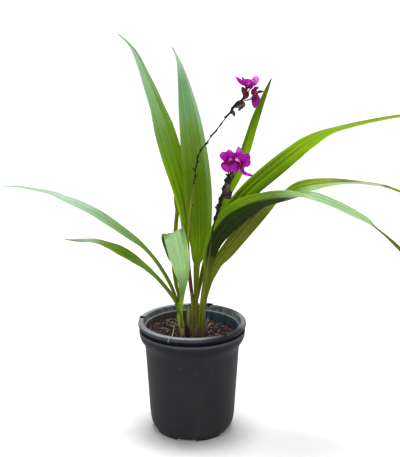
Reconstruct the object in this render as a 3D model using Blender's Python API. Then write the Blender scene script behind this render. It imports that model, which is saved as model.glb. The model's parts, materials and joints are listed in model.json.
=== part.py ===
"""A potted ground orchid: leafy shoots and two flower stalks in a filled nursery pot.

Metres, +Z up.  The origin is the centre of the pot's underside, on the surface that it stands on.
The front of the plant faces -Y, and its long leaves arch out to +X and -X.
"""

import math
from collections import namedtuple

import bpy
import numpy as np
from mathutils import Matrix, Vector, noise

# Driving sizes of the pot
RIM_RADIUS = 0.0825
POT_HEIGHT = 0.174
SHOULDER_RADIUS = 0.0712
BASE_RADIUS = 0.0649
FOOT_RADIUS = 0.0565
WALL = 0.0018
FLOOR_THICKNESS = 0.0060
POT_SIDES = 36

# Feet, drainage and the hanger slots on the lip
FOOT_GAPS = 5
FIRST_FOOT_GAP = math.radians(-99)
FOOT_GAP_SIZE = (0.014, 0.030, 0.0033)
DRAIN_HOLE_RADIUS = 0.005
DRAIN_CIRCLE_RADIUS = 0.040
HANGER_ANGLES = [math.radians(degrees) for degrees in (170, 70, -53)]
HANGER_CIRCLE_RADIUS = 0.0790
HANGER_SLOT = (0.0036, 0.0080, 0.0040)
HANGER_BAR = (0.0014, 0.0100, 0.0026)

# Soil
SOIL_LEVEL = 0.152
SOIL_TILT = 0.055
SOIL_RELIEF = 0.0016
SOIL_RINGS = 6

# What every piece of the plant shares
TOUCH = 0.0003
ROOT_DEPTH = 0.020
LEAF_THICKNESS = 0.0009
PETIOLE_THICKNESS = 0.0030
PETIOLE_HALF_WIDTH = 0.0027
SEAT_HALF_WIDTH = 0.0017
TIP_HALF_WIDTH = 0.0006
PLEAT_DEPTH = 0.07
TEPAL_THICKNESS = 0.0008
TEPAL_CUP = 0.25
LIP_SEAT = 0.0042

Shoot = namedtuple("Shoot", "name foot top foot_radius top_radius")
Leaf = namedtuple("Leaf", "name shoot seat heading width petiole swell crease columns stations path")
Bloom = namedtuple("Bloom", "name heart stem tepals lip column")

SHOOTS = [
    Shoot("shoot_left", (-0.015, -0.010), (-0.018, -0.011, 0.205), 0.0038, 0.0047),
    Shoot("shoot_centre", (0.004, -0.006), (0.005, -0.006, 0.207), 0.0058, 0.0052),
    Shoot("shoot_right", (0.0165, -0.007), (0.016, -0.007, 0.208), 0.0050, 0.0050),
]

# A leaf's path runs from its stalk to its tip: x, y, z, the blade's turn in degrees about the path, and its fold.
# Its seat is where its stalk stands on the shoot's top, and its heading is the way it leans, from +X.
# Its crease is where across the blade the fold lies: 0 is the midrib, -1 and 1 are the edges.
LEAVES = [
    Leaf("leaf_tall_left", 1, (-0.0024, 0.0022), 115, 0.034, 0.22, (0.5, 0.95), 0, 8, 18, [
        (-0.001, 0.000, 0.266, 0, 0.3),
        (-0.005, 0.008, 0.311, 0, 0.3),
        (-0.012, 0.020, 0.357, 0, 0.3),
        (-0.038, 0.055, 0.441, -10, 0.3),
        (-0.054, 0.080, 0.486, 10, 0.3),
        (-0.085, 0.120, 0.559, 20, 0.3),
        (-0.100, 0.132, 0.582, 20, 0.3),
        (-0.118, 0.142, 0.598, 0, 0.3),
    ]),
    Leaf("leaf_tall_centre", 1, (0.0008, -0.0025), 80, 0.041, 0.15, (0.55, 0.95), 0, 8, 18, [
        (0.007, -0.006, 0.261, 5, 0.3),
        (0.011, -0.001, 0.294, 5, 0.3),
        (0.011, 0.006, 0.338, 5, 0.3),
        (0.008, 0.016, 0.389, 5, 0.3),
        (0.001, 0.034, 0.446, 10, 0.3),
        (-0.006, 0.050, 0.490, 15, 0.3),
        (-0.014, 0.066, 0.530, 35, 0.3),
        (-0.021, 0.076, 0.558, 55, 0.3),
        (-0.030, 0.084, 0.580, 60, 0.3),
    ]),
    Leaf("leaf_narrow_right", 1, (0.0028, 0.0018), 40, 0.017, 0.22, (0.5, 0.85), 0, 6, 16, [
        (0.018, 0.004, 0.265, 10, 0.3),
        (0.031, 0.012, 0.304, 10, 0.3),
        (0.051, 0.028, 0.356, 10, 0.3),
        (0.073, 0.044, 0.399, 10, 0.3),
        (0.097, 0.068, 0.471, 15, 0.3),
        (0.109, 0.078, 0.502, 10, 0.3),
        (0.121, 0.086, 0.533, 10, 0.3),
    ]),
    Leaf("leaf_high_arch", 2, (-0.0016, 0.0024), 12, 0.028, 0.12, (0.5, 0.85), 0, 8, 20, [
        (0.021, -0.004, 0.247, 60, 0.3),
        (0.031, 0.002, 0.292, 60, 0.3),
        (0.054, 0.010, 0.334, 60, 0.3),
        (0.084, 0.020, 0.370, 60, 0.3),
        (0.129, 0.034, 0.406, 55, 0.3),
        (0.154, 0.042, 0.424, 45, 0.3),
        (0.177, 0.048, 0.439, 30, 0.3),
        (0.218, 0.058, 0.456, 5, 0.3),
        (0.318, 0.078, 0.475, -10, 0.3),
        (0.382, 0.088, 0.473, 0, 0.3),
        (0.431, 0.094, 0.456, 0, 0.3),
    ]),
    Leaf("leaf_middle_arch", 2, (0.0026, -0.0004), 0, 0.028, 0.08, (0.4, 0.95), 0, 8, 20, [
        (0.026, -0.009, 0.234, -75, 0.2),
        (0.036, -0.009, 0.267, -80, 0.2),
        (0.051, -0.009, 0.286, -80, 0.2),
        (0.081, -0.009, 0.323, -80, 0.2),
        (0.101, -0.009, 0.347, -75, 0.2),
        (0.123, -0.010, 0.365, -60, 0.3),
        (0.143, -0.012, 0.372, -55, 0.5),
        (0.171, -0.015, 0.385, 22, 0.5),
        (0.218, -0.020, 0.390, 8, 0.3),
        (0.271, -0.025, 0.389, -8, 0.1),
        (0.300, -0.025, 0.380, 0, 0.1),
        (0.337, -0.025, 0.366, 0, 0.1),
    ]),
    Leaf("leaf_front_arch", 2, (-0.0014, -0.0026), -22, 0.037, 0.10, (0.5, 0.95), -0.45, 8, 22, [
        (0.021, -0.013, 0.242, -70, 0.1),
        (0.025, -0.015, 0.278, -80, 0.1),
        (0.034, -0.018, 0.307, -85, 0.3),
        (0.052, -0.022, 0.333, -75, 0.5),
        (0.072, -0.028, 0.350, -50, 0.5),
        (0.094, -0.037, 0.364, -30, 0.5),
        (0.119, -0.048, 0.374, -15, 0.4),
        (0.153, -0.060, 0.381, -10, 0.2),
        (0.207, -0.078, 0.366, 8, 0.2),
        (0.258, -0.097, 0.341, -20, 0.1),
        (0.287, -0.107, 0.316, -18, 0.1),
        (0.328, -0.118, 0.275, -10, 0.1),
    ]),
    Leaf("leaf_long_left", 0, (-0.0026, 0.0015), 168, 0.018, 0.22, (0.8, 1.1), 0, 6, 18, [
        (-0.030, -0.007, 0.226, -40, 0.3),
        (-0.048, -0.004, 0.259, -35, 0.3),
        (-0.069, 0.000, 0.285, -20, 0.3),
        (-0.094, 0.006, 0.304, -28, 0.3),
        (-0.149, 0.022, 0.337, -25, 0.3),
        (-0.199, 0.038, 0.356, -5, 0.3),
        (-0.220, 0.044, 0.364, 8, 0.3),
        (-0.274, 0.058, 0.370, 0, 0.3),
        (-0.307, 0.066, 0.366, 0, 0.3),
    ]),
    Leaf("leaf_short_left", 0, (-0.0020, -0.0029), 195, 0.0175, 0.24, (0.8, 0.9), 0, 6, 16, [
        (-0.028, -0.015, 0.214, -60, 0.3),
        (-0.049, -0.020, 0.244, -55, 0.3),
        (-0.067, -0.026, 0.263, -35, 0.3),
        (-0.087, -0.032, 0.280, -40, 0.3),
        (-0.104, -0.037, 0.292, -40, 0.3),
        (-0.138, -0.046, 0.309, -10, 0.3),
        (-0.163, -0.054, 0.313, -10, 0.3),
        (-0.181, -0.060, 0.317, 0, 0.3),
    ]),
    Leaf("leaf_folded", 0, (0.0024, -0.0016), 90, 0.032, 0.05, (1.0, 0.6), 0, 6, 24, [
        (-0.014, -0.018, 0.236, 0, 0.15),
        (-0.015, -0.022, 0.260, 0, 0.15),
        (-0.019, -0.025, 0.284, 0, 0.15),
        (-0.022, -0.027, 0.306, -8, 0.15),
        (-0.025, -0.023, 0.318, -16, 0.1),
        (-0.027, -0.016, 0.320, -20, 0.1),
        (-0.0285, -0.011, 0.311, -16, 0.1),
        (-0.0265, -0.010, 0.290, 0, 0.15),
        (-0.0265, -0.012, 0.268, 0, 0.15),
    ]),
    Leaf("leaf_back", 0, (0.0020, 0.0029), 100, 0.020, 0.50, (0.5, 0.85), 0, 6, 16, [
        (-0.0160, -0.0050, 0.216, 0, 0.2),
        (-0.0210, 0.0000, 0.232, 0, 0.2),
        (-0.0270, 0.0070, 0.265, 0, 0.2),
        (-0.025, 0.020, 0.313, 0, 0.2),
        (-0.022, 0.040, 0.342, 0, 0.2),
        (-0.016, 0.064, 0.379, 0, 0.2),
        (-0.010, 0.088, 0.422, 0, 0.2),
        (-0.004, 0.106, 0.463, 0, 0.2),
    ]),
]

# Flower stalks, from the foot in the soil to the top, as x, y, z and radius
TALL_STALK = [
    (0.0005, -0.0165, 0.132, 0.0019),
    (0.0005, -0.0165, 0.160, 0.0019),
    (-0.0008, -0.0170, 0.217, 0.0019),
    (-0.0030, -0.0200, 0.253, 0.0018),
    (-0.0060, -0.0240, 0.290, 0.0017),
    (-0.0055, -0.0250, 0.320, 0.0016),
    (-0.0010, -0.0240, 0.366, 0.0015),
    (0.0050, -0.0210, 0.406, 0.0014),
    (0.0075, -0.0190, 0.428, 0.0014),
    (0.0130, -0.0180, 0.440, 0.0014),
    (0.0280, -0.0150, 0.458, 0.0013),
    (0.0520, -0.0120, 0.489, 0.0014),
    (0.0633, -0.0115, 0.504, 0.0016),
    (0.0690, -0.0110, 0.508, 0.0015),
    (0.0738, -0.0100, 0.513, 0.0012),
]
SHORT_STALK = [
    (0.0150, -0.0190, 0.132, 0.0018),
    (0.0150, -0.0190, 0.160, 0.0018),
    (0.0165, -0.0200, 0.213, 0.0018),
    (0.0190, -0.0230, 0.245, 0.0017),
    (0.0260, -0.0270, 0.287, 0.0016),
    (0.0280, -0.0290, 0.309, 0.0015),
    (0.0310, -0.0290, 0.337, 0.0015),
    (0.0370, -0.0270, 0.355, 0.0014),
    (0.0480, -0.0220, 0.382, 0.0014),
    (0.0520, -0.0210, 0.398, 0.0013),
]
TALL_KNOBS = (0.61, 0.67, 0.70, 0.74, 0.77, 0.79, 0.82, 0.86, 0.91)
SHORT_KNOBS = (0.72, 0.81, 0.84, 0.87, 0.90)
KNOB_RADIUS = 0.0021
# Withered flowers and buds that hang on the stalks, as x, y, z and radius
TALL_CAPSULES = [
    [
        (0.0650, -0.0115, 0.5060, 0.0016),
        (0.0720, -0.0140, 0.5065, 0.0027),
        (0.0740, -0.0150, 0.5030, 0.0025),
        (0.0690, -0.0150, 0.4985, 0.0018),
        (0.0667, -0.0150, 0.4945, 0.0006),
    ],
    [
        (0.0540, -0.0120, 0.4920, 0.0010),
        (0.0590, -0.0125, 0.4915, 0.0022),
        (0.0607, -0.0130, 0.4870, 0.0008),
    ],
    [
        (0.0735, -0.0110, 0.5105, 0.0010),
        (0.0755, -0.0150, 0.5185, 0.0040),
        (0.0747, -0.0160, 0.5235, 0.0038),
        (0.0722, -0.0160, 0.5285, 0.0012),
    ],
    [
        (0.0738, -0.0110, 0.5110, 0.0010),
        (0.0790, -0.0135, 0.5165, 0.0026),
        (0.0808, -0.0125, 0.5215, 0.0010),
    ],
]
SHORT_CAPSULES = [
    [
        (0.0520, -0.0212, 0.3965, 0.0014),
        (0.0530, -0.0230, 0.3940, 0.0036),
        (0.0516, -0.0240, 0.3877, 0.0040),
        (0.0524, -0.0250, 0.3790, 0.0058),
        (0.0526, -0.0250, 0.3731, 0.0046),
        (0.0515, -0.0250, 0.3680, 0.0008),
    ],
    [
        (0.0515, -0.0215, 0.3940, 0.0012),
        (0.0570, -0.0238, 0.3985, 0.0020),
        (0.0595, -0.0245, 0.3970, 0.0010),
    ],
]
# A tepal is its bend, its tip, its width and how pointed it is.  A bloom's stem runs from the stalk to its heart.
BLOOMS = [
    Bloom("bloom_low_left", (0.0542, -0.0250, 0.4250),
          [(0.0521, -0.0210, 0.3985), (0.053, -0.0225, 0.412)], [
        ((0.0462, -0.029, 0.4315), (0.0397, -0.027, 0.4325), 0.0120, 0.45),
        ((0.0535, -0.027, 0.4345), (0.0530, -0.022, 0.4405), 0.0110, 0.45),
        ((0.0485, -0.029, 0.4190), (0.0535, -0.0275, 0.4085), 0.0120, 0.60),
        ((0.0590, -0.022, 0.4310), (0.0625, -0.017, 0.4370), 0.0090, 0.60),
        ((0.0575, -0.025, 0.4180), (0.0600, -0.024, 0.4130), 0.0080, 0.60),
    ], (0.0525, -0.0375, 0.4215), (0.0560, -0.0350, 0.4285)),
    Bloom("bloom_low_right", (0.0692, -0.0270, 0.4235),
          [(0.0534, -0.0187, 0.3950), (0.060, -0.0165, 0.408)], [
        ((0.0677, -0.024, 0.4345), (0.0673, -0.020, 0.4445), 0.0085, 0.55),
        ((0.0770, -0.030, 0.4305), (0.0842, -0.028, 0.4310), 0.0115, 0.45),
        ((0.0770, -0.031, 0.4200), (0.0837, -0.030, 0.4175), 0.0120, 0.45),
        ((0.0736, -0.028, 0.4105), (0.0875, -0.027, 0.4037), 0.0058, 0.60),
        ((0.0650, -0.029, 0.4165), (0.0665, -0.031, 0.4100), 0.0085, 0.60),
    ], (0.0690, -0.0385, 0.4180), (0.0640, -0.0350, 0.4300)),
    Bloom("bloom_high_left", (0.0799, -0.0150, 0.5302),
          [(0.0752, -0.0090, 0.5157), (0.0772, -0.0078, 0.521)], [
        ((0.0705, -0.017, 0.5353), (0.0618, -0.017, 0.5440), 0.0055, 1.10),
        ((0.0788, -0.021, 0.5363), (0.0795, -0.020, 0.5410), 0.0125, 0.40),
        ((0.0852, -0.016, 0.5352), (0.0875, -0.011, 0.5390), 0.0085, 0.50),
        ((0.0745, -0.009, 0.5374), (0.0712, -0.004, 0.5425), 0.0040, 0.80),
        ((0.0835, -0.018, 0.5300), (0.0850, -0.020, 0.5270), 0.0070, 0.60),
    ], (0.0785, -0.0270, 0.5285), (0.0810, -0.0255, 0.5345)),
    Bloom("bloom_high_right", (0.0900, -0.0170, 0.5200),
          [(0.0753, -0.0120, 0.5094), (0.0836, -0.0150, 0.5115)], [
        ((0.0905, -0.017, 0.5270), (0.0960, -0.014, 0.5279), 0.0050, 1.00),
        ((0.0955, -0.017, 0.5220), (0.1020, -0.017, 0.5227), 0.0040, 0.80),
        ((0.0897, -0.018, 0.5105), (0.0898, -0.018, 0.4989), 0.0085, 0.80),
        ((0.0940, -0.013, 0.5110), (0.0940, -0.012, 0.5020), 0.0065, 0.80),
        ((0.0870, -0.021, 0.5235), (0.0850, -0.023, 0.5185), 0.0065, 0.60),
    ], (0.0895, -0.0285, 0.5175), (0.0920, -0.0265, 0.5230)),
]
TOP_BUD = [
    (0.0870, -0.0040, 0.5292, 0.0010),
    (0.0885, -0.0030, 0.5320, 0.0036),
    (0.0910, -0.0030, 0.5375, 0.0052),
    (0.0921, -0.0030, 0.5419, 0.0036),
    (0.0924, -0.0030, 0.5440, 0.0010),
]
BUD_STALK = [
    (0.0735, -0.0095, 0.5110, 0.0009),
    (0.0765, -0.0035, 0.5170, 0.0009),
    (0.0835, -0.0044, 0.5245, 0.0009),
    (0.0866, -0.0042, 0.5286, 0.0009),
]
# Old shoot, dry sheath and dry straw, as x, y, z and radius
OLD_SHOOT = [
    (-0.0060, -0.0130, 0.132, 0.0030),
    (-0.0055, -0.0130, 0.172, 0.0030),
    (-0.0040, -0.0120, 0.205, 0.0028),
]
OLD_BRACTS = [
    (-0.0060, -0.0130, 0.140, 0.0044),
    (-0.0060, -0.0130, 0.158, 0.0046),
    (-0.0057, -0.0130, 0.172, 0.0036),
]
DRY_SHEATH = [
    (0.0200, -0.0085, 0.150, 0.0010),
    (0.0235, -0.0095, 0.165, 0.0011),
    (0.0265, -0.0100, 0.181, 0.0006),
]
DRY_STRAW = [
    (-0.0219, -0.0132, 0.1800, 0.0007),
    (-0.0245, -0.0350, 0.1830, 0.0007),
    (-0.0265, -0.0550, 0.1805, 0.0007),
    (-0.0285, -0.0710, 0.1752, 0.0007),
    (-0.0312, -0.0765, 0.1751, 0.0007),
    (-0.0330, -0.0800, 0.1738, 0.0007),
    (-0.0345, -0.0812, 0.1690, 0.0006),
]

# Colours, roughness
DARK_PLASTIC = ((0.030, 0.031, 0.034), 0.55)
SOIL_BROWN = ((0.075, 0.040, 0.030), 0.95)
LEAF_GREEN = ((0.130, 0.260, 0.020), 0.45)
SHEATH_GREEN = ((0.120, 0.130, 0.030), 0.60)
STALK_BROWN = ((0.030, 0.018, 0.014), 0.70)
DRY_BROWN = ((0.230, 0.160, 0.090), 0.85)
TEPAL_MAGENTA = ((0.420, 0.005, 0.400), 0.45)
LIP_PURPLE = ((0.260, 0.005, 0.160), 0.40)


def clear_scene():
    """Take out whatever the scene starts with."""
    for thing in list(bpy.data.objects):
        bpy.data.objects.remove(thing)


def finish(name, look):
    """Give a material with the look's colour and roughness."""
    colour, roughness = look
    material = bpy.data.materials.new(name)
    material.use_nodes = True
    shader = material.node_tree.nodes["Principled BSDF"]
    shader.inputs["Base Color"].default_value = (*colour, 1.0)
    shader.inputs["Roughness"].default_value = roughness
    return material


def solid(name, shape, look, smooth_angle=40):
    """Make an object of (vertices, faces), smooth but for its sharp edges."""
    vertices, faces = shape
    mesh = bpy.data.meshes.new(name)
    mesh.from_pydata([tuple(v) for v in vertices], [], faces)
    piece = bpy.data.objects.new(name, mesh)
    bpy.context.scene.collection.objects.link(piece)
    mesh.materials.append(finish(name, look))
    mesh.shade_smooth()
    mesh.set_sharp_from_angle(angle=math.radians(smooth_angle))
    return piece


def apply_modifiers(piece):
    """Turn the piece's evaluated shape into its own mesh."""
    depsgraph = bpy.context.evaluated_depsgraph_get()
    shaped = bpy.data.meshes.new_from_object(piece.evaluated_get(depsgraph))
    piece.modifiers.clear()
    piece.data = shaped


def boolean_all(piece, shapes, operation):
    """Join or cut the piece by all the shapes at once, and take the shapes out again."""
    tools = bpy.data.collections.new(piece.name + "_tools")
    bpy.context.scene.collection.children.link(tools)
    for number, shape in enumerate(shapes):
        mesh = bpy.data.meshes.new("tool")
        mesh.from_pydata([tuple(v) for v in shape[0]], [], shape[1])
        mesh.materials.append(piece.data.materials[0])
        tools.objects.link(bpy.data.objects.new(f"tool_{number}", mesh))
    modifier = piece.modifiers.new("join", "BOOLEAN")
    modifier.operand_type = "COLLECTION"
    modifier.collection = tools
    modifier.operation = operation
    modifier.solver = "EXACT"
    apply_modifiers(piece)
    for tool in list(tools.objects):
        bpy.data.objects.remove(tool)
    bpy.data.collections.remove(tools)


def smooth_path(points, count):
    """Give count rows spread evenly along a smooth curve through the points; later columns ride along."""
    given = np.array(points, float)
    ends = np.vstack([2 * given[0] - given[1], given, 2 * given[-1] - given[-2]])
    fine = []
    for before, start, end, after in zip(ends, ends[1:], ends[2:], ends[3:]):
        for t in np.linspace(0, 1, 24, endpoint=False):
            square = (2 * before - 5 * start + 4 * end - after) * t ** 2
            cube = (3 * start - before - 3 * end + after) * t ** 3
            fine.append(start + ((end - before) * t + square + cube) / 2)
    fine.append(given[-1])
    fine = np.array(fine)
    run = np.concatenate([[0], np.cumsum(np.linalg.norm(np.diff(fine[:, :3], axis=0), axis=1))])
    spots = np.linspace(0, run[-1], count)
    return np.column_stack([np.interp(spots, run, column) for column in fine.T])


def tangents(centres):
    """Give the unit direction of a path at each of its points."""
    return [Vector(t).normalized() for t in np.gradient(np.array(centres), axis=0)]


def ring_shape(rings, closed_ends=True):
    """Skin a list of equal rings of points into a closed shape with flat ends."""
    sides = len(rings[0])
    vertices = [point for ring in rings for point in ring]
    faces = []
    for r in range(len(rings) - 1):
        for k in range(sides):
            after = (k + 1) % sides
            a, b = r * sides + k, r * sides + after
            faces.append((a, b, b + sides, a + sides))
    if closed_ends:
        last = (len(rings) - 1) * sides
        faces.append(tuple(reversed(range(sides))))
        faces.append(tuple(range(last, last + sides)))
    return vertices, faces


def tube(points, count, sides=8):
    """Make a round bar along a smooth path; each point is x, y, z, radius."""
    rows = smooth_path(points, count)
    centres = rows[:, :3]
    across = Vector((1, 0, 0))
    rings = []
    for centre, along, radius in zip(centres, tangents(centres), rows[:, 3].tolist()):
        across = (across - along * across.dot(along)).normalized()
        up = along.cross(across)
        rings.append([Vector(centre) + (across * math.cos(a) + up * math.sin(a)) * radius
                      for a in (2 * math.pi * k / sides for k in range(sides))])
    return ring_shape(rings)


def ribbon(rows, side, half_widths, half_thicks, columns, crease=0, pleat=0, standing=False):
    """Make a thin blade along rows of x, y, z, turn, fold.  A standing blade starts on a level foot.

    side is the blade's sideways direction before it is turned.  fold raises the blade on both sides of the
    midrib, or past a crease that is off the midrib.  pleat is the depth of the lengthwise pleats.  Both are
    shares of the half width.
    Both faces are split into triangles alike.
    """
    centres = rows[:, :3]
    directions = tangents(centres)
    if standing:
        directions[0] = Vector((0, 0, 1))
    spread = np.linspace(-1, 1, columns + 1)
    upper, lower = [], []
    for row, along, half, thick in zip(rows.tolist(), directions, half_widths, half_thicks):
        across = (side - along * side.dot(along)).normalized()
        across = Matrix.Rotation(math.radians(row[3]), 3, along) @ across
        facing = along.cross(across)
        for k, share in enumerate(spread):
            wave = (-1) ** (k + columns // 2 + 1) * pleat
            lift = row[4] * (abs(share - crease) - abs(crease) + np.sign(crease) * share) + wave
            middle = Vector(row[:3]) + (across * share + facing * lift) * half
            rim = thick * (1 - 0.3 * share ** 2)
            upper.append(middle + facing * rim)
            lower.append(middle - facing * rim)
    wide = columns + 1
    count = len(rows)
    under = len(upper)
    faces = []
    for r in range(count - 1):
        for k in range(columns):
            a = r * wide + k
            b, c, d = a + 1, a + wide + 1, a + wide
            faces += [(a, b, c), (a, c, d)]
            faces += [(under + a, under + c, under + b), (under + a, under + d, under + c)]
        for a, b in ((r * wide, r * wide + wide), (r * wide + wide + columns, r * wide + columns)):
            faces += [(a, b, under + b), (a, under + b, under + a)]
    last = (count - 1) * wide
    for k in range(columns):
        faces += [(k + 1, k, under + k), (k + 1, under + k, under + k + 1)]
        a = last + k
        faces += [(a, a + 1, under + a + 1), (a, under + a + 1, under + a)]
    return upper + lower, turned_right(upper + lower, faces)


def turned_right(vertices, faces):
    """Give the faces of a closed shape in the order that makes them point outwards."""
    corners = [[Vector(vertices[corner]) for corner in face] for face in faces]
    volume = sum(first.dot(second.cross(third)) for first, second, third in corners)
    return faces if volume > 0 else [tuple(reversed(f)) for f in faces]


def box(size, centre, angle=0.0):
    """Make a box turned about +Z by the angle, which also carries its centre round."""
    turn = Matrix.Rotation(angle, 3, "Z")
    half = [s / 2 for s in size]
    corners = [(x, y, z) for z in (-1, 1) for x, y in ((-1, -1), (1, -1), (1, 1), (-1, 1))]
    points = [turn @ Vector((centre[0] + x * half[0], centre[1] + y * half[1], centre[2] + z * half[2]))
              for x, y, z in corners]
    return ring_shape([points[:4], points[4:]])


def bar(radius, bottom, top, centre, sides=10):
    """Make an upright round bar."""
    rings = [[(centre[0] + radius * math.cos(a), centre[1] + radius * math.sin(a), z)
              for a in (2 * math.pi * k / sides for k in range(sides))] for z in (bottom, top)]
    return ring_shape(rings)


def turned(profile, sides):
    """Turn a profile of (radius, height) about +Z.  It starts and ends on the axis."""
    vertices = [(0.0, 0.0, profile[0][1])]
    for radius, height in profile[1:-1]:
        vertices += [(radius * math.cos(a), radius * math.sin(a), height)
                     for a in (2 * math.pi * k / sides for k in range(sides))]
    vertices.append((0.0, 0.0, profile[-1][1]))
    faces = []
    for k in range(sides):
        after = (k + 1) % sides
        faces.append((0, 1 + after, 1 + k))
        for r in range(len(profile) - 3):
            low = 1 + r * sides
            faces.append((low + k, low + after, low + sides + after, low + sides + k))
        end = 1 + (len(profile) - 3) * sides
        faces.append((end + k, end + after, len(vertices) - 1))
    return vertices, faces


def inner_radius(height):
    """Give the radius of the pot's inside at a height above its floor."""
    levels = [FLOOR_THICKNESS, 0.010, 0.024, 0.124, 0.158, 0.166]
    radii = [FOOT_RADIUS - 0.0025, 0.0605, BASE_RADIUS - WALL, SHOULDER_RADIUS - WALL, 0.0702, 0.0708]
    return float(np.interp(height, levels, radii))


def pot_profile():
    """Give the pot's section from the middle of its underside, up the outside, and down the inside."""
    lip = POT_HEIGHT
    underside = [(0, 0), (0.018, 0), (0.020, 0.0035), (0.048, 0.0035), (0.050, 0)]
    outside = [(FOOT_RADIUS, 0), (FOOT_RADIUS + 0.0005, 0.004), (0.0603, 0.0076), (0.0632, 0.0135),
               (BASE_RADIUS, 0.022), (0.0660, 0.035), (SHOULDER_RADIUS, 0.124)]
    shoulder = [(0.0716, 0.131), (0.0727, 0.137), (0.0750, 0.142), (0.0784, 0.147), (0.0804, 0.153),
                (0.0812, 0.162), (0.0797, 0.163), (0.0797, lip - 0.0065)]
    rim = [(RIM_RADIUS - 0.0004, lip - 0.0060), (RIM_RADIUS, lip - 0.0050), (RIM_RADIUS, lip - 0.0016),
           (RIM_RADIUS - 0.0010, lip - 0.0002), (RIM_RADIUS - 0.0030, lip), (0.0756, lip),
           (0.0744, lip - 0.0008)]
    collar = [(0.0726, lip - 0.0074), (0.0708, lip - 0.0080)]
    inside = [(inner_radius(z), z) for z in (0.158, 0.124, 0.024, 0.010, FLOOR_THICKNESS)]
    return underside + outside + shoulder + rim + collar + inside + [(0, FLOOR_THICKNESS)]


def make_pot():
    """The moulded pot, with its feet, drainage and hanger slots."""
    pot = solid("pot", turned(pot_profile(), POT_SIDES), DARK_PLASTIC)
    bars = [box(HANGER_BAR, (HANGER_CIRCLE_RADIUS + 0.0022, 0, POT_HEIGHT), a) for a in HANGER_ANGLES]
    boolean_all(pot, bars, "UNION")
    cuts = [box(HANGER_SLOT, (HANGER_CIRCLE_RADIUS - 0.0012, 0, POT_HEIGHT), a) for a in HANGER_ANGLES]
    for number in range(FOOT_GAPS):
        angle = FIRST_FOOT_GAP + number * 2 * math.pi / FOOT_GAPS
        depth, width, height = FOOT_GAP_SIZE
        cuts.append(box((depth, width, 2 * height), (FOOT_RADIUS - 0.001, 0, 0), angle))
        spot = (DRAIN_CIRCLE_RADIUS * math.cos(angle), DRAIN_CIRCLE_RADIUS * math.sin(angle))
        cuts.append(bar(DRAIN_HOLE_RADIUS, 0.001, FLOOR_THICKNESS + 0.002, spot))
    boolean_all(pot, cuts, "DIFFERENCE")
    return pot


def soil_height(x, y):
    """Give the level of the soil, a little higher at -X, with its lumps."""
    lumps = noise.noise(Vector((x, y, 0)) * 90) + 0.6 * noise.noise(Vector((x, y, 0.3)) * 210)
    return SOIL_LEVEL - SOIL_TILT * x + SOIL_RELIEF * lumps


def make_soil(stems):
    """The soil, with a plain hole for each stem that stands in it."""
    floor = FLOOR_THICKNESS + TOUCH
    angles = [2 * math.pi * k / POT_SIDES for k in range(POT_SIDES)]
    rings = []
    for level in (floor, 0.010, 0.024, 0.124):
        radius = inner_radius(level) - TOUCH
        rings.append([(radius * math.cos(a), radius * math.sin(a), level) for a in angles])
    edge = inner_radius(SOIL_LEVEL) - 2 * TOUCH
    for number in range(SOIL_RINGS):
        radius = edge * (1 - number / SOIL_RINGS)
        rings.append([(radius * math.cos(a), radius * math.sin(a),
                       soil_height(radius * math.cos(a), radius * math.sin(a))) for a in angles])
    vertices, faces = ring_shape(rings)
    faces.pop()
    middle = len(vertices)
    vertices.append((0, 0, soil_height(0, 0)))
    faces += [(middle - POT_SIDES + k, middle - POT_SIDES + (k + 1) % POT_SIDES, middle)
              for k in range(POT_SIDES)]
    soil = solid("soil", (vertices, faces), SOIL_BROWN)
    holes = [bar(radius + TOUCH, SOIL_LEVEL - ROOT_DEPTH - TOUCH, SOIL_LEVEL + 0.02, (x, y), sides)
             for x, y, radius, sides in stems]
    boolean_all(soil, holes, "DIFFERENCE")
    return soil


def make_shoot(shoot):
    """A leafy shoot's lower part: sheaths that wrap each other, a step at each one's edge."""
    foot = Vector((*shoot.foot, SOIL_LEVEL - ROOT_DEPTH))
    ground = Vector((*shoot.foot, SOIL_LEVEL + 0.006))
    points = [(*foot, shoot.foot_radius)]
    steps = [0.0, 0.38, 0.40, 0.72, 0.74, 1.0]
    swell = [1.0, 1.05, 0.94, 1.05, 0.94, 1.0]
    for share, wide in zip(steps, swell):
        radius = wide * (shoot.foot_radius + (shoot.top_radius - shoot.foot_radius) * share)
        points.append((*ground.lerp(Vector(shoot.top), share), radius))
    sides = 12
    rings = [[(x + radius * math.cos(a), y + radius * math.sin(a), z)
              for a in (2 * math.pi * k / sides for k in range(sides))] for x, y, z, radius in points]
    return solid(shoot.name, ring_shape(rings), SHEATH_GREEN)


def leaf_rows(leaf):
    """Give the leaf's stations from its seat on the shoot to its tip."""
    shoot = SHOOTS[leaf.shoot]
    seat = Vector(shoot.top) + Vector((*leaf.seat, TOUCH))
    start = [(*(seat + Vector((0, 0, height))), *leaf.path[0][3:]) for height in (0.0, 0.006)]
    return smooth_path(start + leaf.path, leaf.stations)


def leaf_half_widths(leaf):
    """Give the leaf's half width at each station: a slim stalk, then a long blade drawn out to a point."""
    rise, fall = leaf.swell
    peak = rise / (rise + fall)
    highest = peak ** rise * (1 - peak) ** fall
    halves = []
    for share in np.linspace(0, 1, leaf.stations):
        grown = max(0.0, (share - leaf.petiole) / (1 - leaf.petiole))
        blade = leaf.width / 2 * grown ** rise * (1 - grown) ** fall / highest
        young = min(1.0, share / leaf.petiole)
        stalk = (SEAT_HALF_WIDTH + (PETIOLE_HALF_WIDTH - SEAT_HALF_WIDTH) * young) * (1 - grown) ** 2
        halves.append(math.hypot(blade, stalk) + TIP_HALF_WIDTH * grown)
    return halves


def leaf_half_thicks(leaf):
    """Give half the leaf's thickness at each station: a firm stalk that thins out into the blade."""
    shares = [0.0, leaf.petiole, leaf.petiole + 0.15, 1.0]
    thicks = [PETIOLE_THICKNESS / 2, PETIOLE_THICKNESS / 2.4, LEAF_THICKNESS / 2, LEAF_THICKNESS / 2]
    return np.interp(np.linspace(0, 1, leaf.stations), shares, thicks)


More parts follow.
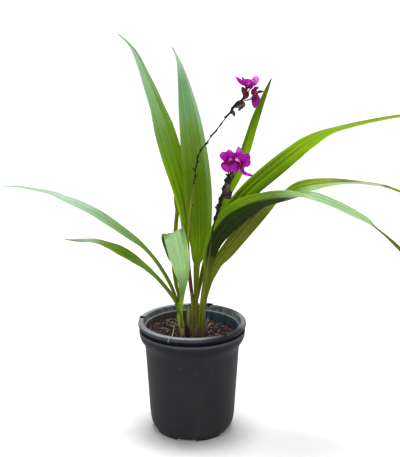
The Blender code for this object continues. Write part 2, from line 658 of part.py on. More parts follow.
def make_leaf(leaf):
    """One pleated leaf with its stalk."""
    heading = math.radians(leaf.heading)
    side = Vector((-math.sin(heading), math.cos(heading), 0))
    shape = ribbon(leaf_rows(leaf), side, leaf_half_widths(leaf), leaf_half_thicks(leaf), leaf.columns,
                   leaf.crease, PLEAT_DEPTH, standing=True)
    return solid(leaf.name, shape, LEAF_GREEN)


def knob(rows, share, number):
    """A short node on a stalk, where a bract and a fallen flower were."""
    spot = share * (len(rows) - 1)
    here = rows[int(spot)] + (rows[min(int(spot) + 1, len(rows) - 1)] - rows[int(spot)]) * (spot % 1)
    out = Vector((math.cos(number * 2.4), math.sin(number * 2.4), 0.4)) * KNOB_RADIUS
    centre = Vector(here[:3])
    points = [(*(centre - out), 0.0008), (*centre, KNOB_RADIUS), (*(centre + out), 0.0016),
              (*(centre + 1.6 * out), 0.0005)]
    return tube(points, 4, sides=5)


def make_stalk(name, path, count, knobs, capsules):
    """A flower stalk with its knobs, buds and withered flowers fused on."""
    stalk = solid(name, tube(path, count, sides=6), STALK_BROWN)
    rows = smooth_path(path, 60)
    growths = [knob(rows, share, number) for number, share in enumerate(knobs)]
    growths += [tube(capsule, 6, sides=5) for capsule in capsules]
    boolean_all(stalk, growths, "UNION")
    return stalk


def tepal(heart, bend, tip, width, pointed, facing, stations=5):
    """One petal from the heart over its bend to its tip."""
    rows = smooth_path([(*heart, 0, TEPAL_CUP), (*bend, 0, TEPAL_CUP), (*tip, 0, TEPAL_CUP)], stations)
    side = (Vector(tip) - Vector(heart)).cross(facing).normalized()
    shares = np.linspace(0.08, 0.94, stations)
    halves = [width / 2 * math.sin(math.pi * share) ** pointed for share in shares]
    return ribbon(rows, side, halves, [TEPAL_THICKNESS / 2] * stations, 2)


def make_bloom(bloom):
    """Five tepals fused round the end of their own slim stem."""
    heart = Vector(bloom.heart)
    facing = (Vector(bloom.lip) - heart).normalized()
    neck = heart.lerp(Vector(bloom.stem[1]), 0.3)
    stem = [(*bloom.stem[0], 0.0011), (*bloom.stem[1], 0.0013), (*neck, 0.0019), (*heart, 0.0021),
            (*(heart + facing * LIP_SEAT), 0.0012)]
    piece = solid(bloom.name, tube(stem, 10, sides=6), TEPAL_MAGENTA)
    boolean_all(piece, [tepal(bloom.heart, *form, facing) for form in bloom.tepals], "UNION")
    return piece


def make_lip(bloom):
    """The lip with its two raised side lobes, and the column that arches over it."""
    heart = Vector(bloom.heart)
    facing = (Vector(bloom.lip) - heart).normalized()
    root = heart + facing * (LIP_SEAT + 2 * TOUCH)
    across = facing.cross(Vector((0, 0, 1))).normalized()
    up = across.cross(facing)
    claw = [(*root, 0.0014), (*(root + facing * 0.002 - up * 0.0006), 0.0014)]
    column = claw + [(*(root + facing * 0.003 + up * 0.003), 0.0015), (*bloom.column, 0.0017)]
    lip = solid(bloom.name + "_lip", tube(column, 5, sides=5), LIP_PURPLE)
    end = Vector(bloom.lip)
    joint = root + facing * 0.0016
    flaps = [tepal(joint, joint.lerp(end, 0.6) - up * 0.001, end, 0.006, 0.6, up, 4)]
    for hand in (-1, 1):
        foot = joint + across * hand * 0.0005 + up * 0.0002
        bend = joint + facing * 0.002 + across * hand * 0.003 + up * 0.001
        tip = joint + facing * 0.0045 + across * hand * 0.0045 + up * 0.005
        flaps.append(tepal(foot, bend, tip, 0.0042, 0.6, across * hand, 4))
    boolean_all(lip, flaps, "UNION")
    return lip


def make_plant():
    """Build every piece of the potted orchid."""
    make_pot()
    stems = [(*shoot.foot, shoot.foot_radius * 1.03, 12) for shoot in SHOOTS]
    for path, radius in ((TALL_STALK, 0.0021), (SHORT_STALK, 0.0021), (OLD_SHOOT, 0.0048)):
        stems.append((path[0][0], path[0][1], radius, 8))
    make_soil(stems)
    for shoot in SHOOTS:
        make_shoot(shoot)
    boolean_all(bpy.data.objects["shoot_right"], [tube(DRY_SHEATH, 5, sides=5)], "UNION")
    old = solid("shoot_old", tube(OLD_SHOOT, 6), SHEATH_GREEN)
    boolean_all(old, [tube(OLD_BRACTS, 4)], "UNION")
    for leaf in LEAVES:
        make_leaf(leaf)
    make_stalk("stalk_tall", TALL_STALK, 30, TALL_KNOBS, TALL_CAPSULES + [BUD_STALK])
    make_stalk("stalk_short", SHORT_STALK, 20, SHORT_KNOBS, SHORT_CAPSULES)
    for bloom in BLOOMS:
        make_bloom(bloom)
        make_lip(bloom)
    solid("bud_top", tube(TOP_BUD, 8), TEPAL_MAGENTA)
    solid("dry_straw", tube(DRY_STRAW, 12, sides=6), DRY_BROWN)


clear_scene()
make_plant()
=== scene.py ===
"""The looks of a potted ground orchid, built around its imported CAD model.

Metres and degrees, +Z up.  The pot stands on the origin, and the camera looks along +Y from above the lip.
"""

import json
import math
from collections import namedtuple

import bmesh
import bpy
import numpy as np
from mathutils import Matrix, Vector, noise

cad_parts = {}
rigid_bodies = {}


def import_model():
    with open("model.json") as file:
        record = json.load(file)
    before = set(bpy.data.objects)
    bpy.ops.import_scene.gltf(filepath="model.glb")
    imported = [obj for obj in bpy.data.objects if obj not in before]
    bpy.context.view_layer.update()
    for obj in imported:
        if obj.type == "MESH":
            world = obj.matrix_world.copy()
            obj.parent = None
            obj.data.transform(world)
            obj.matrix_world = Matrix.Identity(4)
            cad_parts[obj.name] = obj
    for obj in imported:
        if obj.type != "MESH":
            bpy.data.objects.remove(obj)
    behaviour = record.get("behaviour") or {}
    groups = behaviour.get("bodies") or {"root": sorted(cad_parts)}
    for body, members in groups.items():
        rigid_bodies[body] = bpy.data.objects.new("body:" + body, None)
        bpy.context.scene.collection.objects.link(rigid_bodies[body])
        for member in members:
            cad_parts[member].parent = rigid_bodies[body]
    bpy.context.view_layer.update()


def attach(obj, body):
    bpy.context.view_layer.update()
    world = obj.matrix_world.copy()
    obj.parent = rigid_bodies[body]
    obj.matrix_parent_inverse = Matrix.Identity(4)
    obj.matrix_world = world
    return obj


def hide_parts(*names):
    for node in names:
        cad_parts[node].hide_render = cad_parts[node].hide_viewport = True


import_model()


# Pot
# A round nursery pot, moulded in one piece from dark grey plastic.  Its flat lip has hanger slots, a deep
# groove runs under the lip, and it stands on five feet with drainage gaps between them.

LIP_RADIUS = 0.0825
POT_HEIGHT = 0.174
SHOULDER_RADIUS = 0.0712
BASE_RADIUS = 0.0649
FOOT_RADIUS = 0.0565
WALL = 0.0018
FLOOR = 0.0060
GROOVE_RADIUS = 0.0772
POT_SIDES = 144
FOOT_GAPS = 5
FIRST_FOOT_GAP = -99
FOOT_GAP_SIZE = (0.014, 0.030, 0.0066)
FOOT_GAP_CIRCLE = 0.0555
DRAIN_HOLE = 0.005
DRAIN_CIRCLE = 0.040
DRAIN_SIDES = 24
HANGER_PLACES = (170, 70, -53)
SLOT_CIRCLE = 0.0778
SLOT_SIZE = (0.0040, 0.0080, 0.0060)
BAR_CIRCLE = 0.0812
BAR_SIZE = (0.0014, 0.0100, 0.0026)
SHADE_CIRCLE = 0.0782
SHADE_REACH = (0.0036, 0.0052)
COLLAR_EDGE = (0.0746, 0.0750)
CORNER_EASING = 0.0011
SHARP_ON_PLASTIC = 35
SHARP_ON_PLANTS = 60

# Heights at which a tone on the pot starts, is full, fades and ends: painted shade under the shoulder, dust
# with a painted highlight on the shoulder rim, painted shadow in the groove and a painted highlight on the
# inner ledge
SHOULDER_SHADE = (0.136, 0.146, 0.154, 0.156)
SHOULDER_RIM_DUST_AND_HIGHLIGHT = (0.1570, 0.1595, 0.1612, 0.1617)
GROOVE_PAINTED_SHADOW = (0.1612, 0.1618, 0.1676, 0.1682)
INNER_LEDGE_HIGHLIGHT = (0.1650, 0.1657, 0.1663, 0.1669)

# Heights between which a tone on the pot sets in
FOOT_DUST = (0.004, 0.030)
WALL_INSIDE = (0.146, 0.150)
COLLAR_FOOT = (0.1664, 0.1670)
LIP_SIDE = (0.1680, 0.1690)
LIP_TOP = (0.1722, 0.1736)

Shape = namedtuple("Shape", "points faces along across")


class Wire:
    """The value of one socket in a node tree.  Sums and products of wires add their own maths nodes."""

    def __init__(self, graph, socket):
        self.graph = graph
        self.socket = socket

    def maths(self, operation, first, second=0.0):
        return self.graph.add("ShaderNodeMath", {"operation": operation}, {0: first, 1: second})

    def __add__(self, other):
        return self.maths("ADD", self, other)

    def __radd__(self, other):
        return self.maths("ADD", other, self)

    def __sub__(self, other):
        return self.maths("SUBTRACT", self, other)

    def __rsub__(self, other):
        return self.maths("SUBTRACT", other, self)

    def __mul__(self, other):
        return self.maths("MULTIPLY", self, other)

    def __rmul__(self, other):
        return self.maths("MULTIPLY", other, self)

    def __pow__(self, other):
        return self.maths("POWER", self, other)

    def __abs__(self):
        return self.maths("ABSOLUTE", self)


class Graph:
    """A node tree that is written as expressions."""

    def __init__(self, tree):
        self.tree = tree

    def add(self, kind, settings=None, values=None, output=0):
        """Add a node: first its settings, then the values or wires of its sockets."""
        node = self.tree.nodes.new(kind)
        for name, setting in (settings or {}).items():
            if name == "stops":
                self.set_stops(node.color_ramp, setting)
            else:
                setattr(node, name, setting)
        for name, value in (values or {}).items():
            self.feed(node.inputs[name], value)
        return Wire(self, node.outputs[output])

    def feed(self, socket, value):
        if isinstance(value, Wire):
            self.tree.links.new(value.socket, socket)
        else:
            socket.default_value = value

    def set_stops(self, ramp, stops):
        while len(ramp.elements) < len(stops):
            ramp.elements.new(1.0)
        for element, (place, colour) in zip(ramp.elements, stops):
            element.position = place
            element.color = colour

    def mix(self, share, first, second):
        """Blend two colours."""
        return self.add("ShaderNodeMix", {"data_type": "RGBA"}, {0: share, 6: first, 7: second}, 2)

    def coats(self, colour, *layers):
        """Lay tones over a colour in turn, each given by its share and its screen values."""
        for share, *tone in layers:
            colour = self.mix(share, colour, pigment(*tone))
        return colour

    def tints(self, colour, *layers):
        """Multiply a colour in turn, by shares from 0 to 1, with three factors each that may be over 1."""
        settings = {"data_type": "RGBA", "blend_type": "MULTIPLY", "clamp_result": False}
        for share, *factors in layers:
            colour = self.add("ShaderNodeMix", settings, {0: share, 6: colour, 7: (*factors, 1.0)}, 2)
        return colour

    def ramp(self, place, stops):
        """A colour that changes with place, from stops of (place, colour)."""
        return self.add("ShaderNodeValToRGB", {"stops": stops}, {0: place})

    def noise(self, vector, scale, detail=2.0, roughness=0.5):
        values = {"Vector": vector, "Scale": scale, "Detail": detail, "Roughness": roughness}
        return self.add("ShaderNodeTexNoise", None, values)

    def step(self, value, low, high):
        """Rise smoothly from 0 to 1 as the value goes from low to high."""
        values = {"Value": value, "From Min": low, "From Max": high}
        return self.add("ShaderNodeMapRange", {"interpolation_type": "SMOOTHSTEP"}, values)

    def band(self, value, start, full, fade, end):
        """Rise from 0 to 1 between start and full, and fall back between fade and end."""
        return self.step(value, start, full) * (1 - self.step(value, fade, end))

    def wave(self, turn, operation="SINE"):
        return self.add("ShaderNodeMath", {"operation": operation}, {0: turn})

    def attribute(self, name):
        return self.add("ShaderNodeAttribute", {"attribute_name": name}, None, "Fac")

    def stored(self, name, kind="FLOAT"):
        """A mesh's own values under a name, in a Geometry Nodes tree."""
        return self.add("GeometryNodeInputNamedAttribute", {"data_type": kind}, {"Name": name})

    def draws(self, low, high, seed):
        """Three random values for each copy, in a Geometry Nodes tree."""
        return self.add("FunctionNodeRandomValue", {"data_type": "FLOAT_VECTOR"}, {0: low, 1: high, 8: seed})

    def place(self):
        """Object coordinates, in metres."""
        return self.add("ShaderNodeTexCoord", None, None, "Object")

    def distance(self, place, spot=(0.0, 0.0, 0.0)):
        return self.add("ShaderNodeVectorMath", {"operation": "DISTANCE"}, {0: place, 1: spot}, "Value")

    def part_of(self, vector, axis):
        return self.add("ShaderNodeSeparateXYZ", None, {0: vector}, axis)

    def vector(self, x, y, z):
        return self.add("ShaderNodeCombineXYZ", None, {0: x, 1: y, 2: z})

    def scaled(self, vector, x, y, z):
        return self.add("ShaderNodeVectorMath", {"operation": "MULTIPLY"}, {0: vector, 1: (x, y, z)})


def pigment(red, green, blue):
    """A colour from its screen values, 0 to 255."""
    def light(value):
        share = value / 255
        return share / 12.92 if share < 0.04045 else ((share + 0.055) / 1.055) ** 2.4
    return (light(red), light(green), light(blue), 1.0)


def new_finish(name, gloss):
    """Start a material with the strength of its gloss, and give it with the graph of its nodes."""
    material = bpy.data.materials.new(name)
    material.use_nodes = True
    material.node_tree.nodes["Principled BSDF"].inputs["Specular IOR Level"].default_value = gloss
    return material, Graph(material.node_tree)


def end_finish(material, graph, colour, roughness, relief, depth, strength=0.5):
    """Give a material its colour, its roughness and its relief, which is depth metres deep."""
    sockets = material.node_tree.nodes["Principled BSDF"].inputs
    graph.feed(sockets["Base Color"], colour)
    graph.feed(sockets["Roughness"], roughness)
    values = {"Height": relief, "Distance": depth, "Strength": strength}
    graph.feed(sockets["Normal"], graph.add("ShaderNodeBump", None, values))
    return material


def turned(angle, point):
    """A point turned about +Z by an angle in degrees."""
    return Matrix.Rotation(math.radians(angle), 3, "Z") @ Vector(point)


def moulded_plastic():
    """Dark grey plastic, with dust on the lip and smudges inside it, painted shadow in the groove, black
    round the slots, and painted light and shade on the lip, the shoulder and the inner ledge.
    """
    material, graph = new_finish("moulded_plastic", 0.12)
    place = graph.place()
    side, front, height = (graph.part_of(place, axis) for axis in "XYZ")
    clouds = graph.noise(place, 22, 3)
    fine = graph.noise(place, 260, 4, 0.7)
    marks = graph.noise(graph.scaled(place, 12, 12, 900), 1.0, 2)
    streaks = graph.noise(graph.scaled(place, 240, 240, 20), 1.0, 3, 0.6)
    scuffs = graph.step(graph.noise(graph.scaled(place, 60, 60, 14), 1.0, 4, 0.7), 0.56, 0.8)
    foot_dust = 1 - graph.step(height, *FOOT_DUST)
    colour = graph.mix(graph.step(clouds, 0.35, 0.7), pigment(32, 33, 38), pigment(38, 37, 39))
    # Painted shade darkens the shoulder's downward face below the rim
    colour = graph.coats(colour, (scuffs * 0.14, 84, 82, 80), (foot_dust * fine * 0.25, 74, 70, 66),
                         (graph.band(height, *SHOULDER_SHADE) * 0.6, 16, 17, 19))

    radius = graph.distance(graph.scaled(place, 1, 1, 0))
    inside = (1 - graph.step(radius, *COLLAR_EDGE)) * graph.step(height, *WALL_INSIDE)
    inner = graph.mix(graph.step(side, -0.03, 0.03), pigment(92, 86, 84), pigment(74, 88, 100))
    inner = graph.tints(inner, (graph.step(streaks, 0.6, 0.35), 0.6, 0.6, 0.6))
    collar = graph.mix(graph.step(streaks, 0.3, 0.75), pigment(64, 70, 74), pigment(122, 126, 124))
    inner = graph.mix(graph.step(height, *COLLAR_FOOT), inner, collar)
    # A painted highlight lightens the inner ledge
    inner = graph.coats(inner, (graph.band(height, *INNER_LEDGE_HIGHLIGHT) * 0.8, 136, 142, 142))

    # Painted shade darkens the lip at its right side, and the dust on the lip is painted lighter towards its
    # left
    lip_right_painted_shade = graph.step(side, 0.0, 0.05) * graph.step(abs(front), 0.016, 0.045)
    lip_dust_and_painted_light = (1 - lip_right_painted_shade * 0.85) * (0.50 + 0.9 * fine)
    lip_side = graph.step(height, *LIP_SIDE)
    lip_top = graph.step(height, *LIP_TOP)
    # Dust and a painted highlight lighten the shoulder rim
    # Painted shadow colours the groove under the lip nearly black
    colour = graph.coats(colour, (graph.band(height, *SHOULDER_RIM_DUST_AND_HIGHLIGHT) * (0.3 + 0.4 * fine), 92, 97, 104),
                         (graph.band(height, *GROOVE_PAINTED_SHADOW), 1, 2, 4), (lip_side * lip_dust_and_painted_light * 0.3, 92, 98, 106),
                         (lip_side * lip_right_painted_shade * 0.7, 14, 16, 18), (lip_top * lip_dust_and_painted_light * 0.85, 152, 156, 160))
    colour = graph.mix(inside, colour, inner)
    for angle in HANGER_PLACES:
        reach = graph.distance(place, turned(angle, (SHADE_CIRCLE, 0.0, POT_HEIGHT)))
        colour = graph.coats(colour, (1 - graph.step(reach, *SHADE_REACH), 10, 11, 13))
    specks = graph.step(graph.noise(place, 430, 1), 0.79, 0.81)
    colour = graph.coats(colour, (specks * 0.75, 150, 150, 148))
    roughness = 0.42 + 0.2 * clouds + 0.1 * marks + 0.2 * lip_top * (1 - inside)
    relief = marks * 0.5 + graph.noise(place, 1400, 2) * 0.3 + clouds * 0.6
    return end_finish(material, graph, colour, roughness, relief, 0.0004)


def eased(profile, cut, steps=3):
    """Round each corner of a profile with a short curve that starts cut metres before it."""
    points = [Vector(p) for p in profile]
    rounded = [points[0]]
    for before, corner, after in zip(points, points[1:], points[2:]):
        first = corner + (before - corner).normalized() * min(cut, (before - corner).length * 0.4)
        last = corner + (after - corner).normalized() * min(cut, (after - corner).length * 0.4)
        for t in np.linspace(0, 1, steps + 1):
            spot = first * float((1 - t) ** 2) + corner * float(2 * t * (1 - t)) + last * float(t * t)
            rounded.append(spot)
    rounded.append(points[-1])
    return [tuple(p) for p in rounded]


def round_ring(radius, height, sides):
    return [(radius * math.cos(a), radius * math.sin(a), height)
            for a in (2 * math.pi * k / sides for k in range(sides))]


def skinned(rings):
    """Skin equal rings of points into a closed shape, each end closed round its middle."""
    sides = len(rings[0])
    points = [Vector(p) for ring in rings for p in ring]
    faces = []
    for r in range(len(rings) - 1):
        for k in range(sides):
            a = r * sides + k
            b = r * sides + (k + 1) % sides
            faces.append((a, b, b + sides, a + sides))
    along = [r / (len(rings) - 1) for r in range(len(rings)) for _ in range(sides)]
    across = [k / sides for _ in rings for k in range(sides)]
    for first, share in ((0, 0.0), ((len(rings) - 1) * sides, 1.0)):
        middle = len(points)
        points.append(sum(points[first:first + sides], Vector()) / sides)
        along.append(share)
        across.append(0.5)
        faces += [(first + k, first + (k + 1) % sides, middle) for k in range(sides)]
    return Shape(points, faces, along, across)


def block(size, centre, angle):
    """A box whose place is turned about +Z by an angle in degrees."""
    rings = []
    for z in (-0.5, 0.5):
        corners = [(-0.5, -0.5, z), (0.5, -0.5, z), (0.5, 0.5, z), (-0.5, 0.5, z)]
        spots = [[middle + share * length for middle, share, length in zip(centre, corner, size)]
                 for corner in corners]
        rings.append([turned(angle, spot) for spot in spots])
    return skinned(rings)


def joined(shapes):
    """Put several shapes into one."""
    points, faces, along, across = [], [], [], []
    for shape in shapes:
        start = len(points)
        points += shape.points
        faces += [tuple(corner + start for corner in face) for face in shape.faces]
        along += shape.along
        across += shape.across
    return Shape(points, faces, along, across)


def smooth(mesh, angle):
    """Shade a mesh smooth, but for the edges that turn by more than an angle in degrees."""
    mesh.shade_smooth()
    mesh.set_sharp_from_angle(angle=math.radians(angle))


def shown(name, data):
    """Put an object with this data in the scene."""
    thing = bpy.data.objects.new(name, data)
    bpy.context.scene.collection.objects.link(thing)
    return thing


def new_piece(name, shape, material, smooth_angle=SHARP_ON_PLANTS):
    """Make an object of a shape, its faces pointing out, with its along and across values kept on it."""
    mesh = bpy.data.meshes.new(name)
    mesh.from_pydata([tuple(p) for p in shape.points], [], shape.faces)
    raw = bmesh.new()
    raw.from_mesh(mesh)
    bmesh.ops.recalc_face_normals(raw, faces=raw.faces)
    raw.to_mesh(mesh)
    raw.free()
    for label, values in (("along", shape.along), ("across", shape.across)):
        mesh.attributes.new(label, "FLOAT", "POINT").data.foreach_set("value", values)
    mesh.materials.append(material)
    smooth(mesh, smooth_angle)
    return shown(name, mesh)


def keep_shaped(piece):
    """Make what the piece's modifiers give its own plain mesh."""
    depsgraph = bpy.context.evaluated_depsgraph_get()
    shaped = bpy.data.meshes.new_from_object(piece.evaluated_get(depsgraph))
    piece.modifiers.clear()
    piece.data = shaped


def join_or_cut(piece, shapes, operation):
    """Join or cut the piece by all the shapes at once."""
    tools = bpy.data.collections.new(piece.name + "_tools")
    bpy.context.scene.collection.children.link(tools)
    for number, shape in enumerate(shapes):
        tool = new_piece(f"tool_{number}", shape, piece.data.materials[0], SHARP_ON_PLASTIC)
        bpy.context.scene.collection.objects.unlink(tool)
        tools.objects.link(tool)
    modifier = piece.modifiers.new("join_or_cut", "BOOLEAN")
    modifier.operand_type = "COLLECTION"
    modifier.collection = tools
    modifier.operation = operation
    keep_shaped(piece)
    for tool in list(tools.objects):
        bpy.data.objects.remove(tool)
    bpy.data.collections.remove(tools)


def settle(piece, slot_name, *nodes):
    """Let a finished piece ride on the plant and stand for its CAD nodes, if it has any; its slot name is not
    used.
    """
    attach(piece, "root")
    if nodes:
        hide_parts(*nodes)


def inside_radius(height):
    """The radius of the pot's inside at a height."""
    levels = [FLOOR, 0.010, 0.024, 0.124, 0.158, 0.166]
    radii = [FOOT_RADIUS - 0.0025, 0.0605, BASE_RADIUS - WALL, SHOULDER_RADIUS - WALL, 0.0702, 0.0708]
    return float(np.interp(height, levels, radii))


underside = [(0.002, 0), (0.018, 0), (0.020, 0.0035), (0.048, 0.0035), (0.050, 0)]
outer_wall = [(FOOT_RADIUS, 0), (FOOT_RADIUS + 0.0005, 0.004), (0.0603, 0.0076), (0.0632, 0.0135),
              (BASE_RADIUS, 0.022), (0.0660, 0.035), (SHOULDER_RADIUS, 0.124)]
shoulder = [(0.0716, 0.131), (0.0727, 0.137), (0.0750, 0.142), (0.0784, 0.147), (0.0804, 0.153),
            (0.0812, 0.1600), (0.0802, 0.1615), (GROOVE_RADIUS, 0.1617), (GROOVE_RADIUS, POT_HEIGHT - 0.0064),
            (0.0800, POT_HEIGHT - 0.0062)]
lip = [(LIP_RADIUS - 0.0004, POT_HEIGHT - 0.0060), (LIP_RADIUS, POT_HEIGHT - 0.0050),
       (LIP_RADIUS, POT_HEIGHT - 0.0016), (LIP_RADIUS - 0.0010, POT_HEIGHT - 0.0002),
       (LIP_RADIUS - 0.0030, POT_HEIGHT), (0.0756, POT_HEIGHT), (0.0744, POT_HEIGHT - 0.0008)]
collar = [(0.0726, POT_HEIGHT - 0.0074), (0.0708, POT_HEIGHT - 0.0080)]
inner_wall = [(inside_radius(z), z) for z in (0.158, 0.124, 0.024, 0.010, FLOOR)]
section = eased(underside + outer_wall + shoulder + lip + collar + inner_wall + [(0.002, FLOOR)],
                CORNER_EASING)
rings = [round_ring(radius, height, POT_SIDES) for radius, height in section]
pot = new_piece("pot_shell", skinned(rings), moulded_plastic(), SHARP_ON_PLASTIC)
bars = [block(BAR_SIZE, (BAR_CIRCLE, 0, POT_HEIGHT), angle) for angle in HANGER_PLACES]
join_or_cut(pot, bars, "UNION")
gaps = [block(SLOT_SIZE, (SLOT_CIRCLE, 0, POT_HEIGHT), angle) for angle in HANGER_PLACES]
for number in range(FOOT_GAPS):
    angle = FIRST_FOOT_GAP + number * 360 / FOOT_GAPS
    gaps.append(block(FOOT_GAP_SIZE, (FOOT_GAP_CIRCLE, 0, 0), angle))
    spot = turned(angle, (DRAIN_CIRCLE, 0, 0))
    rims = [round_ring(DRAIN_HOLE, height, DRAIN_SIDES) for height in (0.001, FLOOR + 0.002)]
    gaps.append(skinned([[Vector(point) + spot for point in rim] for rim in rims]))
join_or_cut(pot, gaps, "DIFFERENCE")
smooth(pot.data, SHARP_ON_PLASTIC)
settle(pot, "pot_plastic", "pot")


# Soil
# A loose reddish brown mix of bark and fibre that fills the pot to about 20 mm under the lip.  Crumbs, bark
# chips and a few pale grains lie on it.

SOIL_LEVEL = 0.152
SOIL_TILT = 0.055
SOIL_RELIEF = 0.0016
# The layers of lumps on the soil: how fine each is, its level in the noise, and its strength
SOIL_LUMPS = ((90, 0.0, 1.0), (210, 0.3, 0.6), (620, 0.7, 0.45))
SOIL_SIDES = 120
SOIL_RINGS = 44
GAP = 0.0003


def soil_height(x, y):
    """The level of the soil, a little higher at -X, with its lumps."""
    lumps = sum(share * noise.noise(Vector((x, y, level)) * fine) for fine, level, share in SOIL_LUMPS)
    return SOIL_LEVEL - SOIL_TILT * x + SOIL_RELIEF * lumps


def new_recipe(name, sizes):
    """Start a Geometry Nodes tree with a mesh in and out, named sizes and a finish."""
    tree = bpy.data.node_groups.new(name, "GeometryNodeTree")
    tree.interface.new_socket("Geometry", in_out="INPUT", socket_type="NodeSocketGeometry")
    for size in sizes:
        tree.interface.new_socket(size, in_out="INPUT", socket_type="NodeSocketFloat")
    tree.interface.new_socket("Finish", in_out="INPUT", socket_type="NodeSocketMaterial")
    tree.interface.new_socket("Geometry", in_out="OUTPUT", socket_type="NodeSocketGeometry")
    graph = Graph(tree)
    start = tree.nodes.new("NodeGroupInput")
    given = {socket.name: Wire(graph, socket) for socket in start.outputs if socket.name}
    return graph, given


def end_recipe(graph, given, geometry):
    """Turn copies into real faces, give them the finish, and hand them out."""
    real = graph.add("GeometryNodeRealizeInstances", None, {"Geometry": geometry})
    coated = graph.add("GeometryNodeSetMaterial", None, {"Geometry": real, "Material": given["Finish"]})
    end = graph.tree.nodes.new("NodeGroupOutput")
    graph.feed(end.inputs["Geometry"], coated)


def follow_recipe(piece, graph, **sizes):
    """Shape the piece by a recipe's tree and keep the result as its mesh."""
    modifier = piece.modifiers.new("recipe", "NODES")
    modifier.node_group = graph.tree
    for socket in graph.tree.interface.items_tree:
        if socket.in_out == "INPUT" and socket.name in sizes:
            modifier[socket.identifier] = sizes[socket.name]
    keep_shaped(piece)


def scattering():
    """Strew grains over the top of a mesh, each turned and stretched at random and with its own tone."""
    graph, given = new_recipe("scattering", ["Density", "Grain", "Stretch", "Sink", "Seed"])
    height = graph.part_of(graph.add("GeometryNodeInputNormal"), "Z")
    facing_up = graph.add("FunctionNodeCompare", {"operation": "GREATER_THAN"}, {0: height, 1: 0.6})
    inputs = {"Mesh": given["Geometry"], "Selection": facing_up, "Density": given["Density"],
              "Seed": given["Seed"]}
    points = graph.add("GeometryNodeDistributePointsOnFaces", None, inputs)
    grain = graph.add("GeometryNodeMeshIcoSphere", None, {"Radius": given["Grain"], "Subdivisions": 1})
    rough = graph.add("ShaderNodeTexNoise", {"noise_dimensions": "3D"}, {"Scale": 900.0, "Detail": 1.0},
                      "Color")
    shift = graph.add("ShaderNodeVectorMath", {"operation": "SUBTRACT"}, {0: rough, 1: (0.5, 0.5, 0.5)})
    shift = graph.add("ShaderNodeVectorMath", {"operation": "SCALE"}, {0: shift, 3: given["Grain"] * 1.3})
    lump = graph.add("GeometryNodeSetPosition", None, {"Geometry": grain, "Offset": shift})
    turn = graph.draws((-0.5, -0.5, 0.0), (0.5, 0.5, 6.3), given["Seed"])
    size = graph.draws((0.5, 0.35, 0.3), (1.5, 0.9, 0.8), given["Seed"] + 5)
    longer = graph.vector(given["Stretch"], 1.0, 1.0)
    size = graph.add("ShaderNodeVectorMath", {"operation": "MULTIPLY"}, {0: size, 1: longer})
    strewn = {"Points": points, "Instance": lump, "Rotation": turn, "Scale": size}
    copies = graph.add("GeometryNodeInstanceOnPoints", None, strewn)
    sunk = graph.add("GeometryNodeTranslateInstances", None,
                     {"Instances": copies, "Translation": graph.vector(0.0, 0.0, 0.0 - given["Sink"])})
    chance = {2: 0.0, 3: 1.0, 8: given["Seed"] + 9}
    tone = graph.add("FunctionNodeRandomValue", {"data_type": "FLOAT"}, chance, 1)
    toned = graph.add("GeometryNodeStoreNamedAttribute", {"data_type": "FLOAT", "domain": "INSTANCE"},
                      {"Geometry": sunk, "Name": "tone", "Value": tone})
    end_recipe(graph, given, toned)
    return graph


def earthy(name, *tones):
    """Crumbly matter whose grains run from a dark over a middle to a pale tone."""
    material, graph = new_finish(name, 0.15)
    place = graph.place()
    fine = graph.noise(place, 750, 4, 0.7)
    blend = graph.attribute("tone") * 0.8 + graph.noise(place, 130, 3, 0.6) * 0.5 - 0.12
    colour = graph.ramp(blend, [(spot, pigment(*tone)) for spot, tone in zip((0.12, 0.5, 0.95), tones)])
    colour = graph.coats(colour, (graph.step(fine, 0.5, 0.75) * 0.5, *tones[0]))
    return end_finish(material, graph, colour, 0.8 + 0.2 * fine, fine, 0.0006, 0.8)


soil_rings = [round_ring(inside_radius(z) - GAP, z, SOIL_SIDES) for z in (FLOOR + GAP, 0.010, 0.024, 0.124)]
for number in range(SOIL_RINGS):
    radius = (inside_radius(SOIL_LEVEL) - 2 * GAP) * (1 - number / SOIL_RINGS)
    soil_rings.append([(x, y, soil_height(x, y)) for x, y, _ in round_ring(radius, 0, SOIL_SIDES)])
soil_brown = earthy("soil_brown", (34, 25, 28), (76, 58, 58), (118, 94, 88))
soil = new_piece("soil_bed", skinned(soil_rings), soil_brown)
strew = scattering()
GRAINS = (
    ("soil_crumbs", 130000.0, 0.0013, 1.1, 0.0001, 3, ((34, 24, 28), (84, 62, 62), (134, 108, 102))),
    ("bark_chips", 15000.0, 0.0018, 2.3, 0.0002, 11, ((40, 28, 30), (100, 74, 68), (162, 134, 116))),
    ("pale_grains", 6000.0, 0.0008, 1.2, 0.0000, 23, ((140, 116, 104), (190, 170, 156), (240, 236, 230))),
)
for name, density, size, stretch, sink, seed, tones in GRAINS:
    grains = shown(name, soil.data.copy())
    follow_recipe(grains, strew, Density=density, Grain=size, Stretch=stretch, Sink=sink, Seed=float(seed),
                  Finish=earthy(name + "_finish", *tones))
    grains.data.shade_smooth()
    settle(grains, "potting_soil")
settle(soil, "potting_soil", "soil")


# Leafy shoots
# Three short stems, each wrapped in the green feet of its leaves, with thin dry sheaths left from older ones.
# Between them stands the stub of an old shoot, cut off and wrapped in dark dry bracts.

